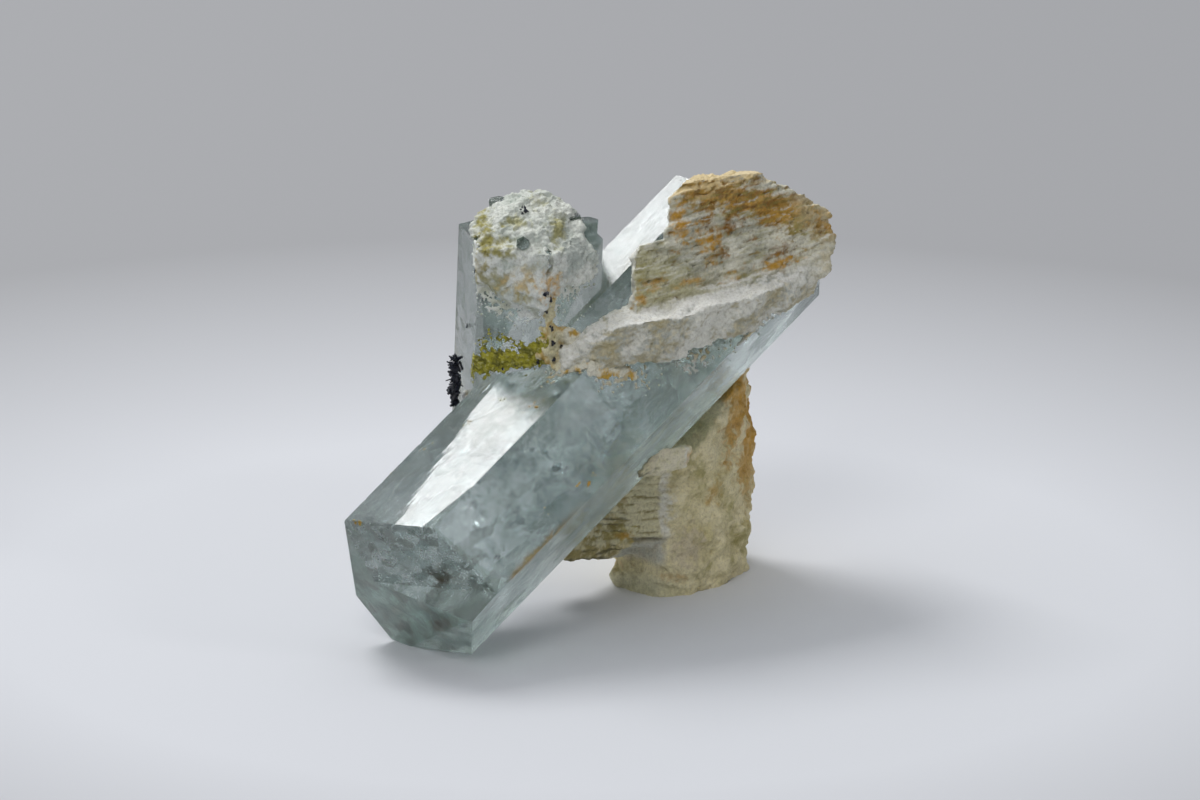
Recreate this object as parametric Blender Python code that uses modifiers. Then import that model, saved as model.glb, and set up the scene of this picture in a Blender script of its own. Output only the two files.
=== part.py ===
"""Aquamarine crystal specimen: a long hexagonal beryl prism lying on a slant, an upright beryl prism
grown through it, a parallel lath, feldspar matrix above and below, a crust and a tuft of schorl.

Sizes are in millimetres and turn into metres when a mesh is placed. The long crystal lies in the XZ
plane and rises toward +X. The specimen stands on its matrix foot and the low end of the crystal.
"""

import math
import random

import bmesh
import bpy
from mathutils import Matrix, Vector, noise

MM = 0.001
CONTACT_GAP = 0.3
MERGE_DISTANCE = 0.004
HALF_SECTOR = 30.0

# Long crystal: a regular hexagonal prism, measured along its axis from the middle of its low end
LONG_SIDE = 6.08
LONG_LOW_END = (-15.55, -0.2, 4.89)
LONG_SLOPE = 28.6
LONG_ROLL = 4.7
LONG_START = -0.8
LONG_FINISH = 35.0
LONG_UNCUT_FINISH = 36.5

# Facets that cut the long crystal's ends: direction round the axis, tilt, distance from the axis
LOW_FACETS = ((19.0, 46.0, 4.24), (-120.7, 23.0, 3.5))
FAR_FACETS = ((90.0, 12.8, 0.0),)

# Piece broken out of the low end's upper half: its corners away, above and along. It leaves a
# slanting break and a narrow ledge under it.
LOW_BREAK = (
    (2.6, 0.3, -0.86), (-7.2, -0.5, 2.05), (4.4, 9.0, -1.14), (-7.2, 9.0, 2.34),
    (3.4, 0.9, -3.0), (-7.2, -1.4, -3.0), (4.4, 9.0, -3.0), (-7.2, 9.0, -3.0),
)

# Lath that grew parallel to the long crystal on its upper face
LATH_SIDE = 2.74
LATH_MIDDLE = (0.27, 4.34)
LATH_START = 17.8
LATH_FINISH = 32.7

# Upright crystal: its frame is right, away and up, turned halfway between X and Y
UPRIGHT_SIDE = 4.76
UPRIGHT_FOOT = (13.55, 3.5, 9.6)
UPRIGHT_ROLL = 46.0
UPRIGHT_LEAN = 2.0
UPRIGHT_HEIGHT = 15.2
UPRIGHT_HEADING = -45.0
UPRIGHT_FOOT_FACETS = ((80.0, 48.0, 2.6),)

# Small beryls on the upright crystal: root in its frame, side, length, lean and its direction
SMALL_BERYLS = (
    ((-1.8, 0.9, 13.9), 0.58, 3.2, 8.0, 200.0),
    ((2.7, -0.6, 13.4), 0.80, 3.1, 6.0, 160.0),
    ((3.5, 0.1, 13.2), 0.70, 2.9, 4.0, 330.0),
    ((-0.3, -2.7, 14.7), 0.45, 2.4, 62.0, 264.0),
)

# Upper matrix: the frame of its front wall is along, inward and up the wall from its low corner
WALL_CORNER = (16.7, -3.7, 20.2)
WALL_YAW = -12.7
WALL_PITCH = -4.6
WALL_LEAN = -21.8

WALL_UPPER = (
    (3.4, 0.0, 0.0), (3.4, 0.0, 4.1), (4.2, 0.0, 6.3), (6.1, 0.0, 7.6), (10.2, 0.0, 7.0),
    (11.6, 0.0, 6.3), (13.8, 0.0, 4.3), (15.7, 0.0, 3.2), (15.4, 0.0, 1.0), (14.4, 0.0, -0.6),
    (4.2, 1.4, 0.0), (5.0, 1.4, 5.6), (8.0, 3.4, 6.6), (11.0, 5.6, 5.6), (14.2, 6.4, 2.6),
    (13.6, 5.8, -1.5),
)
WALL_LOWER = (
    (0.0, 0.0, 0.0), (0.7, 0.0, 3.2), (1.5, 0.0, 4.1), (4.6, 0.0, 4.1), (4.6, 0.0, 0.0),
    (0.6, 1.4, 0.0), (1.4, 1.2, 3.6), (4.6, 1.4, 3.6), (4.6, 1.6, -1.5), (1.0, 1.4, -1.5),
)
END_PLATE = (
    (-4.2, 4.0, 33.0), (2.6, 5.6, 33.0), (-6.2, 0.4, 34.0), (0.0, -1.5, 34.0), (4.2, 1.4, 34.0),
    (-3.4, 4.9, 35.9), (2.0, 4.8, 35.5), (-5.6, 0.6, 36.3), (0.0, -1.0, 36.2), (3.4, 1.4, 35.9),
)

# Ledge stations across the long crystal: lower lip, front rim, back of the shelf
LEDGE = (
    ((11.6, -2.1, 17.3), (12.6, -1.3, 18.8), (13.8, 1.2, 18.6)),
    ((14.5, -4.7, 17.0), (14.0, -4.8, 20.0), (16.0, -1.5, 19.8)),
    ((19.9, -5.9, 17.3), (19.3, -6.4, 20.3), (20.8, -3.4, 20.5)),
    ((24.6, -6.8, 18.0), (24.3, -7.3, 20.5), (25.8, -4.2, 20.8)),
    ((30.6, -5.8, 18.9), (29.8, -6.7, 21.2), (30.0, -4.2, 21.4)),
)

# Lower matrix: blocks given by their corners, from the ground under the crystal's low end
FOOT_BODY = (
    (19.9, 1.4, -0.6), (20.0, -1.9, -0.6), (22.2, -3.2, -0.6), (25.7, -3.1, -0.6),
    (28.2, -2.1, -0.6), (29.3, 0.6, -0.6), (29.8, 3.6, -0.6), (25.5, 4.4, -0.6), (22.4, 3.6, -0.6),
    (20.4, -2.1, 3.2), (21.2, -2.8, 8.6), (23.6, -3.4, 10.5), (28.8, -1.6, 13.9), (31.3, 0.4, 6.0),
    (31.6, 1.0, 10.6), (30.2, 3.8, 12.6), (21.0, 3.8, 9.4),
)
FOOT_LAMINATED = (
    (20.9, -2.5, 3.5), (20.9, -2.5, 9.2), (16.4, 0.0, 3.4), (16.4, 0.0, 8.4), (16.8, 3.4, 3.4),
    (16.8, 3.4, 8.4), (22.0, 3.4, 3.0), (22.0, 3.4, 9.6),
)
FOOT_SHELF = (
    (14.2, 0.4, 3.4), (14.2, 0.6, 6.6), (20.4, -0.6, 2.3), (20.4, -1.0, 5.0), (14.4, 3.0, 3.2),
    (14.4, 3.0, 6.6), (20.6, 3.2, 2.2), (20.6, 3.2, 6.0),
)
FOOT_LUMP = (
    (16.6, -4.0, 9.6), (17.8, -4.3, 10.9), (18.8, -4.3, 11.1), (20.5, -4.6, 10.6), (21.5, -3.9, 10.2),
    (20.6, -4.1, 9.1), (19.2, -3.8, 8.8), (17.1, -3.6, 9.0), (21.8, -2.4, 8.9), (19.0, -2.2, 8.4),
)
FOOT_BACK = (
    (26.5, -1.0, 8.0), (30.4, 0.4, 11.5), (31.0, 1.4, 14.2), (29.6, 4.6, 15.6), (25.0, 5.4, 13.2),
    (22.5, 4.6, 7.0), (28.5, 4.2, 6.0),
)

FOOT_BLOCKS = (FOOT_BODY, FOOT_LAMINATED, FOOT_SHELF, FOOT_LUMP, FOOT_BACK)

# Crust on the head of the upright crystal, in its frame
CRUST_CAP = (
    (-4.1, 0.6, 15.3), (-3.3, -4.0, 15.2), (1.1, -5.3, 15.2), (3.7, -2.2, 15.2), (2.8, 2.6, 15.3),
    (-1.2, 3.6, 15.3), (-3.2, 0.6, 16.3), (-1.6, 1.2, 17.4), (0.4, 0.8, 17.9), (2.6, -0.2, 17.1),
    (0.8, -2.4, 16.9), (-1.8, -2.4, 16.7),
)
CRUST_FRONT = (
    (-3.5, -3.8, 13.0), (-3.4, -4.3, 13.4), (-3.5, -4.2, 15.2), (0.9, -5.5, 11.8), (1.2, -5.5, 15.3),
    (0.6, -3.2, 16.3), (-3.0, -2.4, 16.3), (-2.6, -2.6, 12.6), (0.8, -4.0, 11.6), (-1.2, -5.0, 11.9),
)
CRUST_RIGHT = (
    (1.0, -5.4, 12.2), (1.6, -5.3, 15.2), (4.5, -2.4, 14.6), (4.4, -2.3, 13.2), (3.2, -1.6, 16.0),
    (1.0, -3.2, 16.2), (3.4, -1.6, 13.0), (0.9, -4.0, 11.9),
)
CRUST_BLOCKS = (CRUST_CAP, CRUST_FRONT, CRUST_RIGHT)

# Rough pieces: facet size, depth of the lumps and their spacing along each axis. The lumps are
# raised on finer facets, and get shallower by the given share in each finer layer.
CAP_SKIN = (0.58, 0.38, (3.2, 2.2, 1.1))
FOOT_SKIN = (0.62, 0.40, (2.4, 2.4, 1.3))
CRUST_SKIN = (0.50, 0.35, (1.3, 1.3, 1.3))
FINER_FACET = 0.6
LUMP_SHARE = 0.9
LUMP_LAYERS = 3

BELOW_GROUND = 60.0

# Schorl: a tuft of short black prisms on the left edge of the upright crystal, in its frame
SCHORL_MIDDLE = (-4.35, -2.5, 5.9)
SCHORL_CORE = 0.34
SCHORL_REACH = 1.5
SCHORL_NEEDLES = 14
SCHORL_SIDE = 0.17
SCHORL_LENGTHS = (0.6, 0.95)
SCHORL_WIDTHS = (0.8, 1.3)
SCHORL_LEANS = (20.0, 75.0)
SCHORL_HEADINGS = (160.0, 310.0)
SCHORL_ROOTS = (-0.95, 0.8)
SCHORL_SEED = 5

# Colour and roughness of each material, and how clear the beryl is
AQUAMARINE = ((0.55, 0.72, 0.74), 0.05)
AQUAMARINE_CLEARNESS = 1.0
BERYL_IOR = 1.577
STAINED_FELDSPAR = ((0.72, 0.66, 0.52), 0.8)
ROUGH_FELDSPAR = ((0.70, 0.66, 0.52), 0.85)
WHITE_CRUST = ((0.82, 0.82, 0.76), 0.7)
BLACK_SCHORL = ((0.02, 0.02, 0.03), 0.3)


def long_frame():
    """Away, above and along: the frame of the long crystal, whose away is Y."""
    slope = math.radians(LONG_SLOPE)
    turn = Matrix(
        (
            (0.0, -math.sin(slope), math.cos(slope)),
            (1.0, 0.0, 0.0),
            (0.0, math.cos(slope), math.sin(slope)),
        )
    )
    return Matrix.Translation(LONG_LOW_END) @ turn.to_4x4()


def upright_frame():
    """Right, away and up: the frame of the upright crystal, standing on its foot."""
    foot = Vector(UPRIGHT_FOOT) + Vector((LONG_LOW_END[0], LONG_LOW_END[1], 0.0))
    lean = Matrix.Rotation(math.radians(UPRIGHT_LEAN), 4, Vector((1.0, 1.0, 0.0)))
    return Matrix.Translation(foot) @ lean @ Matrix.Rotation(math.radians(UPRIGHT_HEADING), 4, "Z")


def ground_frame():
    """The ground under the middle of the long crystal's low end, in line with X, Y and Z."""
    return Matrix.Translation((LONG_LOW_END[0], LONG_LOW_END[1], 0.0))


def wall_frame():
    """Along, inward and up the front wall of the upper matrix."""
    turn = Matrix.Rotation(math.radians(WALL_YAW), 4, "Z")
    turn = turn @ Matrix.Rotation(math.radians(WALL_PITCH), 4, "Y")
    turn = turn @ Matrix.Rotation(math.radians(WALL_LEAN), 4, "X")
    return ground_frame() @ Matrix.Translation(WALL_CORNER) @ turn


def material(name, colour, roughness, clearness=0.0):
    finish = bpy.data.materials.new(name)
    finish.use_nodes = True
    shader = finish.node_tree.nodes["Principled BSDF"]
    shader.inputs["Base Color"].default_value = (*colour, 1.0)
    shader.inputs["Metallic"].default_value = 0.0
    shader.inputs["Roughness"].default_value = roughness
    shader.inputs["Transmission Weight"].default_value = clearness
    shader.inputs["IOR"].default_value = BERYL_IOR
    finish.diffuse_color = (*colour, 1.0)
    return finish


def add_object(name, bm, collection, frame):
    """Places a mesh that was made in millimetres in its frame, and links it as one object."""
    bmesh.ops.transform(bm, matrix=Matrix.Scale(MM, 4) @ frame, verts=bm.verts)
    bmesh.ops.recalc_face_normals(bm, faces=bm.faces)
    mesh = bpy.data.meshes.new(name)
    bm.to_mesh(mesh)
    bm.free()
    result = bpy.data.objects.new(name, mesh)
    collection.objects.link(result)
    return result


def hide_as_cutter(cutter):
    cutter.hide_render = True
    cutter.display_type = "WIRE"


def boolean(target, cutter, operation, solver="EXACT"):
    modifier = target.modifiers.new(cutter.name, "BOOLEAN")
    modifier.operation = operation
    modifier.solver = solver
    modifier.object = cutter


def evaluated_mesh(source):
    graph = bpy.context.evaluated_depsgraph_get()
    return bpy.data.meshes.new_from_object(source.evaluated_get(graph))


def trim(bm, point, normal):
    """Cuts a solid along a plane, takes away what lies past it and closes the cut."""
    everything = bm.verts[:] + bm.edges[:] + bm.faces[:]
    bmesh.ops.bisect_plane(bm, geom=everything, plane_co=point, plane_no=normal, clear_outer=True)
    rim = [edge for edge in bm.edges if edge.is_boundary]
    bmesh.ops.holes_fill(bm, edges=rim)


def prism(side, start, finish, roll, grow):
    """A hexagonal prism along Z, grown outward by the given clearance on every side."""
    bm = bmesh.new()
    radius = side + grow / math.cos(math.radians(HALF_SECTOR))
    bmesh.ops.create_cone(
        bm, cap_ends=True, segments=6, radius1=radius, radius2=radius, depth=finish - start + 2.0 * grow
    )
    middle = Matrix.Translation((0.0, 0.0, (start + finish) / 2.0))
    turn = Matrix.Rotation(math.radians(roll - HALF_SECTOR), 4, "Z")
    bmesh.ops.transform(bm, matrix=middle @ turn, verts=bm.verts)
    return bm


def cut_facets(bm, facets, end, outward, grow):
    """Facets on one end of a prism. Each starts at its distance from the axis and falls away outward."""
    for heading, tilt, distance in facets:
        side = Vector((math.cos(math.radians(heading)), math.sin(math.radians(heading)), 0.0))
        up = Vector((0.0, 0.0, outward))
        normal = up * math.cos(math.radians(tilt)) + side * math.sin(math.radians(tilt))
        trim(bm, Vector((0.0, 0.0, end)) + side * distance + normal * grow, normal)


def leaning(root, lean, heading):
    """A frame at a root point whose Z leans toward a heading."""
    turn = Matrix.Rotation(math.radians(heading), 4, "Z") @ Matrix.Rotation(math.radians(lean), 4, "Y")
    return Matrix.Translation(root) @ turn


def crystals(prefix, collection, grow=0.0):
    """The long crystal, its lath, the upright crystal and the small beryls, as overlapping prisms."""
    bm = prism(LONG_SIDE, LONG_START, LONG_UNCUT_FINISH, LONG_ROLL, grow)
    cut_facets(bm, LOW_FACETS, LONG_START, -1.0, grow)
    cut_facets(bm, FAR_FACETS, LONG_FINISH, 1.0, grow)
    pieces = [add_object(f"{prefix}_long", bm, collection, long_frame())]

    lath = prism(LATH_SIDE, LATH_START, LATH_FINISH, LONG_ROLL, grow)
    place = long_frame() @ Matrix.Translation((*LATH_MIDDLE, 0.0))
    pieces.append(add_object(f"{prefix}_lath", lath, collection, place))

    upright = prism(UPRIGHT_SIDE, 0.0, UPRIGHT_HEIGHT, UPRIGHT_ROLL, grow)
    cut_facets(upright, UPRIGHT_FOOT_FACETS, 0.0, -1.0, grow)
    pieces.append(add_object(f"{prefix}_upright", upright, collection, upright_frame()))

    for number, (root, side, length, lean, heading) in enumerate(SMALL_BERYLS, 1):
        beryl = prism(side, 0.0, length, 0.0, grow)
        place = upright_frame() @ leaning(root, lean, heading)
        pieces.append(add_object(f"{prefix}_beryl_{number}", beryl, collection, place))

    for piece in pieces:
        hide_as_cutter(piece)
    return pieces


def grown_together(name, pieces, collection):
    """Crystals that grew through each other, joined as one solid."""
    joined = bpy.data.objects.new(name, pieces[0].data.copy())
    collection.objects.link(joined)
    for piece in pieces[1:]:
        boolean(joined, piece, "UNION")
    return joined


def block(corners, frame):
    """A rough block: the convex solid round its corners, in millimetres."""
    bm = bmesh.new()
    for corner in corners:
        bm.verts.new(frame @ Vector(corner))
    hull = bmesh.ops.convex_hull(bm, input=bm.verts)
    unused = {item for item in hull["geom_interior"] if isinstance(item, bmesh.types.BMVert)}
    bmesh.ops.delete(bm, geom=list(unused), context="VERTS")
    return bm


def keep_largest_piece(bm):
    """Drops the chips that a cut leaves loose beside the main piece."""
    waiting = set(bm.verts)
    pieces = []
    while waiting:
        piece = set()
        border = [waiting.pop()]
        while border:
            vert = border.pop()
            piece.add(vert)
            for edge in vert.link_edges:
                other = edge.other_vert(vert)
                if other in waiting:
                    waiting.remove(other)
                    border.append(other)
        pieces.append(piece)
    pieces.sort(key=len, reverse=True)
    for piece in pieces[1:]:
        bmesh.ops.delete(bm, geom=list(piece), context="VERTS")


def even_skin(mesh, facet, collection):
    """The outer skin of overlapping solids, as one closed solid of even facets."""
    skin = bpy.data.objects.new("skin", mesh)
    collection.objects.link(skin)
    remesh = skin.modifiers.new("even_skin", "REMESH")
    remesh.mode = "VOXEL"
    remesh.voxel_size = facet * MM
    result = evaluated_mesh(skin)
    bpy.data.objects.remove(skin)
    return result


def raise_lumps(mesh, relief, spacing, frame):
    """Lumps and hollows, stretched along the axes of the frame."""
    to_frame = frame.to_3x3().inverted()
    normals = [vert.normal.copy() for vert in mesh.vertices]
    for vert, normal in zip(mesh.vertices, normals):
        spot = to_frame @ (vert.co / MM)
        spot = Vector(spot[axis] / spacing[axis] for axis in range(3))
        vert.co += normal * noise.fractal(spot, LUMP_SHARE, 2.0, LUMP_LAYERS) * relief * MM


def rock(name, blocks, skin_sizes, frame, collection, cuts, cutters):
    """A rough solid: blocks joined and given lumps, then cut by what it touches."""
    facet, relief, spacing = skin_sizes
    whole = bmesh.new()
    for part in blocks:
        mesh = bpy.data.meshes.new("block")
        part.to_mesh(mesh)
        part.free()
        whole.from_mesh(mesh)
        bpy.data.meshes.remove(mesh)
    rough = add_object("rough", whole, cutters, Matrix.Identity(4))
    skin = even_skin(rough.data, facet * FINER_FACET, cutters)
    bpy.data.objects.remove(rough)
    raise_lumps(skin, relief, spacing, frame)

    solid = bpy.data.objects.new("uncut", even_skin(skin, facet, cutters))
    cutters.objects.link(solid)
    for cut in cuts:
        boolean(solid, cut, "DIFFERENCE", "MANIFOLD")
    bm = bmesh.new()
    bm.from_mesh(evaluated_mesh(solid))
    bpy.data.objects.remove(solid)

    bmesh.ops.remove_doubles(bm, verts=bm.verts, dist=MERGE_DISTANCE * MM)
    bmesh.ops.dissolve_degenerate(bm, dist=MERGE_DISTANCE * MM, edges=bm.edges)
    keep_largest_piece(bm)
    bmesh.ops.triangulate(bm, faces=bm.faces)
    return add_object(name, bm, collection, Matrix.Scale(1.0 / MM, 4))


def floor_cutter(cutters):
    """Everything below the ground, which leaves the foot a flat base."""
    bm = bmesh.new()
    bmesh.ops.create_cube(bm, size=BELOW_GROUND)
    cutter = add_object("below_ground", bm, cutters, Matrix.Translation((0.0, 0.0, -BELOW_GROUND / 2.0)))
    hide_as_cutter(cutter)
    return cutter


def cap_blocks():
    """The wall, the plate behind it and the ledge in front of it, as overlapping blocks."""
    blocks = [
        block(WALL_UPPER, wall_frame()),
        block(WALL_LOWER, wall_frame()),
        block(END_PLATE, long_frame()),
    ]
    for near, far in zip(LEDGE, LEDGE[1:]):
        blocks.append(block((*near, *far), ground_frame()))
    return blocks


def schorl_tuft(collection, cutters, room):
    """Short black prisms that spread from a slender core along the upright crystal's edge."""
    chance = random.Random(SCHORL_SEED)
    place = upright_frame() @ Matrix.Translation(SCHORL_MIDDLE)
    core = prism(SCHORL_CORE, -SCHORL_REACH, SCHORL_REACH, 0.0, 0.0)
    tuft = add_object("schorl_tuft", core, collection, place)
    for number in range(SCHORL_NEEDLES):
        root = Vector((0.0, 0.0, SCHORL_REACH * chance.uniform(*SCHORL_ROOTS)))
        lean = chance.uniform(*SCHORL_LEANS)
        heading = chance.uniform(*SCHORL_HEADINGS)
        side = SCHORL_SIDE * chance.uniform(*SCHORL_WIDTHS)
        needle = prism(side, 0.0, chance.uniform(*SCHORL_LENGTHS), 0.0, 0.0)
        piece = add_object(f"schorl_needle_{number}", needle, cutters, place @ leaning(root, lean, heading))
        hide_as_cutter(piece)
        boolean(tuft, piece, "UNION")
    for crystal in room:
        boolean(tuft, crystal, "DIFFERENCE")
    return tuft


def build():
    for leftover in list(bpy.data.objects):
        bpy.data.objects.remove(leftover)
    specimen = bpy.data.collections.new("aquamarine_specimen")
    cutters = bpy.data.collections.new("cutters")
    bpy.context.scene.collection.children.link(specimen)
    bpy.context.scene.collection.children.link(cutters)

    beryl = grown_together("aquamarine_crystals", crystals("beryl", cutters), specimen)
    low_break = add_object("low_break", block(LOW_BREAK, Matrix.Identity(4)), cutters, long_frame())
    hide_as_cutter(low_break)
    boolean(beryl, low_break, "DIFFERENCE")
    beryl.data.materials.append(material("aquamarine", *AQUAMARINE, AQUAMARINE_CLEARNESS))

    room = crystals("room", cutters, CONTACT_GAP)
    ground = floor_cutter(cutters)

    cap = rock("feldspar_cap", cap_blocks(), CAP_SKIN, wall_frame(), specimen, room, cutters)
    cap.data.materials.append(material("stained_feldspar", *STAINED_FELDSPAR))

    blocks = [block(corners, ground_frame()) for corners in FOOT_BLOCKS]
    foot = rock("feldspar_foot", blocks, FOOT_SKIN, ground_frame(), specimen, [*room, ground], cutters)
    foot.data.materials.append(material("rough_feldspar", *ROUGH_FELDSPAR))

    blocks = [block(corners, upright_frame()) for corners in CRUST_BLOCKS]
    crust = rock("crystal_crust", blocks, CRUST_SKIN, upright_frame(), specimen, room, cutters)
    crust.data.materials.append(material("white_crust", *WHITE_CRUST))

    tuft = schorl_tuft(specimen, cutters, room)
    tuft.data.materials.append(material("schorl", *BLACK_SCHORL))


build()
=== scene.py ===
import math
import random

import bmesh
import bpy
import numpy
from mathutils import Matrix, Vector, noise
from mathutils.bvhtree import BVHTree


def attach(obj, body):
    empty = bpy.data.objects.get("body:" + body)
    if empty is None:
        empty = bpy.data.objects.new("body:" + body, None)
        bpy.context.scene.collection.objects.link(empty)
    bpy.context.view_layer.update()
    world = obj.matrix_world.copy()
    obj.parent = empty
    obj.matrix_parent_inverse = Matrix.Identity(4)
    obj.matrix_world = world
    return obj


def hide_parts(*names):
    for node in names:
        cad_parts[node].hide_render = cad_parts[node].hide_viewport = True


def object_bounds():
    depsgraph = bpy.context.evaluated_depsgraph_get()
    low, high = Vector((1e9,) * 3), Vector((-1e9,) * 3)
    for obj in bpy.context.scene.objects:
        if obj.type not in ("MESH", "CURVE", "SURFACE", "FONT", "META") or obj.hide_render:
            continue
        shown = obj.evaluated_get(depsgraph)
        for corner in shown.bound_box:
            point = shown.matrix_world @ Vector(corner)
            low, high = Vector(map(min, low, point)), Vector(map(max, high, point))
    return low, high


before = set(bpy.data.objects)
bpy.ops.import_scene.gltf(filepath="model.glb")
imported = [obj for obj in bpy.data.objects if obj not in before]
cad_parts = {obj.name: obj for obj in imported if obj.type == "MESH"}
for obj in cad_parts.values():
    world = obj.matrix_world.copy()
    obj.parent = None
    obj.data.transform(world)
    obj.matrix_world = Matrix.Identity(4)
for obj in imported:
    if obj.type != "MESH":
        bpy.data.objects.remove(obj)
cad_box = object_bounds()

# Aquamarine crystals, grown together as one clear blue-green solid: a long slanting prism, a lath
# along its back, an upright prism through it and four small beryls. Growth lines run along every
# crystal, small chips are broken out of the prism edges, and iron has soaked into some of them.
MM = 0.001
SLOPE = math.radians(28.6)
LONG_AXIS = Vector((math.cos(SLOPE), 0.0, math.sin(SLOPE)))
LONG_AWAY = Vector((0.0, 1.0, 0.0))
LONG_ABOVE = Vector((-math.sin(SLOPE), 0.0, math.cos(SLOPE)))
LONG_END = Vector((-15.55, -0.2, 4.89))
LONG_SIDE = 6.08
LONG_FACES = [math.radians(94.7 + 60.0 * number) for number in range(6)]
LONG_EDGES = [math.radians(124.7 + 60.0 * number) for number in range(6)]
UPRIGHT_FOOT = Vector((-2.0, 3.3, 9.6))
UPRIGHT_RIGHT = Vector((0.7067, -0.7075, -0.0349)).normalized()
UPRIGHT_AXIS = Vector((0.0247, -0.0247, 0.9994)).normalized()
UPRIGHT_AWAY = UPRIGHT_AXIS.cross(UPRIGHT_RIGHT)


def in_long(away, above, along):
    """A point in millimetres, given from the middle of the long crystal's low end."""
    return LONG_END + LONG_AWAY * away + LONG_ABOVE * above + LONG_AXIS * along


def in_upright(right, away, up):
    """A point in millimetres, given from the upright crystal's foot."""
    return UPRIGHT_FOOT + UPRIGHT_RIGHT * right + UPRIGHT_AWAY * away + UPRIGHT_AXIS * up


def merged_copy(node):
    """A copy of a solid from the frame, with its loose triangles joined."""
    bm = bmesh.new()
    bm.from_mesh(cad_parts[node].data)
    bmesh.ops.remove_doubles(bm, verts=bm.verts, dist=0.002 * MM)
    return bm


def finished_mesh(name, bm):
    """The mesh of a finished shape."""
    mesh = bpy.data.meshes.new(name)
    bm.to_mesh(mesh)
    bm.free()
    return mesh


def in_scene(name, data):
    """A new object in the scene."""
    item = bpy.data.objects.new(name, data)
    bpy.context.scene.collection.objects.link(item)
    return item


def add_piece(name, mesh, slot, *nodes):
    """A finished piece of the specimen, in place of the solids it is named for."""
    piece = in_scene(name, mesh)
    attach(piece, "root")
    if nodes:
        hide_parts(*nodes)


def hull_round(bm, points):
    """Adds the convex solid round some points."""
    verts = [bm.verts.new(point) for point in points]
    hull = bmesh.ops.convex_hull(bm, input=verts)
    spare = [item for item in hull["geom_interior"] if isinstance(item, bmesh.types.BMVert)]
    bmesh.ops.delete(bm, geom=spare, context="VERTS")


def shard(bm, centre, reach, chance, corners=8):
    """A small angular lump: the convex solid round a few random corners."""
    ways = []
    for _ in range(corners):
        ways.append(Vector((chance.gauss(0, 1), chance.gauss(0, 1), chance.gauss(0, 1))).normalized())
    hull_round(bm, [centre + Vector(a * b for a, b in zip(way, reach)) for way in ways])


def cut_away(piece, cutter, solver):
    """Takes one solid out of another."""
    cut = piece.modifiers.new("cut", "BOOLEAN")
    cut.operation = "DIFFERENCE"
    cut.solver = solver
    cut.object = cutter


def evaluated(piece):
    """The mesh of an object with its modifiers worked in; the object itself goes."""
    graph = bpy.context.evaluated_depsgraph_get()
    mesh = bpy.data.meshes.new_from_object(piece.evaluated_get(graph))
    bpy.data.objects.remove(piece)
    return mesh


crystal_bm = merged_copy("aquamarine_crystals")
crystal_bm.normal_update()
crystal_tree = BVHTree.FromBMesh(crystal_bm)
clear_crystals = in_scene("crystals_whole", finished_mesh("crystals", crystal_bm))

FIRST_CHIP = 1.2
LAST_CHIP = 31.5
chance = random.Random(11)
chips_bm = bmesh.new()
for edge in LONG_EDGES:
    corner = LONG_AWAY * math.cos(edge) + LONG_ABOVE * math.sin(edge)
    along = FIRST_CHIP
    while along < LAST_CHIP:
        size = chance.uniform(0.16, 0.42)
        spot = LONG_END + LONG_AXIS * along + corner * (LONG_SIDE + size * chance.uniform(0.30, 0.62))
        near, outward, _, _ = crystal_tree.find_nearest(spot * MM)
        if (spot * MM - near).dot(outward) > 0.0:
            shard(chips_bm, spot * MM, Vector((1.5, 0.8, 1.1)) * size * MM, chance)
        along += chance.uniform(1.1, 3.4)
chips = in_scene("chips", finished_mesh("chips", chips_bm))
cut_away(clear_crystals, chips, "EXACT")
crystal_bm = bmesh.new()
crystal_bm.from_mesh(evaluated(clear_crystals))
bpy.data.objects.remove(chips)

TOP_NORMAL = LONG_AWAY * math.cos(LONG_FACES[0]) + LONG_ABOVE * math.sin(LONG_FACES[0])
TOP_LEVEL = (LONG_END.dot(TOP_NORMAL) + LONG_SIDE * math.cos(math.radians(30.0)) - 0.1) * MM
bmesh.ops.triangulate(crystal_bm, faces=crystal_bm.faces)
growth = crystal_bm.loops.layers.uv.new("growth")
rust_edge = crystal_bm.loops.layers.uv.new("rust_edge")
zone = crystal_bm.loops.layers.float_color.new("zone")
BREAK_NORMAL = (LONG_AWAY * -0.287 + LONG_ABOVE * 0.029 - LONG_AXIS * 0.957).normalized()
FRONT_EDGE = (LONG_AWAY * math.cos(LONG_EDGES[1]) + LONG_ABOVE * math.sin(LONG_EDGES[1])) * LONG_SIDE
FRONT_FACES = [LONG_AWAY * math.cos(turn) + LONG_ABOVE * math.sin(turn) for turn in LONG_FACES[1:3]]
FAR_FROM_EDGE = 9.0


def crystal_zone(normal, middle):
    """How etched, how pale and how green a face of the crystals is."""
    if normal.dot(UPRIGHT_AXIS) > 0.99 or middle.dot(LONG_ABOVE) > 9.0:
        return 0.35, 0.10, 0.80
    if abs(normal.dot(UPRIGHT_AXIS)) < 0.02:
        return 0.25, 0.85, 0.0
    if middle.dot(LONG_AXIS) > 4.0:
        return (0.03, 0.0, 0.0) if normal.dot(TOP_NORMAL) > 0.999 else (0.22, 0.0, 0.0)
    if normal.dot(BREAK_NORMAL) > 0.995:
        return 1.0, 0.15, 0.0
    if normal.dot(LONG_AXIS) < -0.999:
        return 0.10, 0.0, 0.9
    return 0.6, 0.0, 0.45


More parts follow.
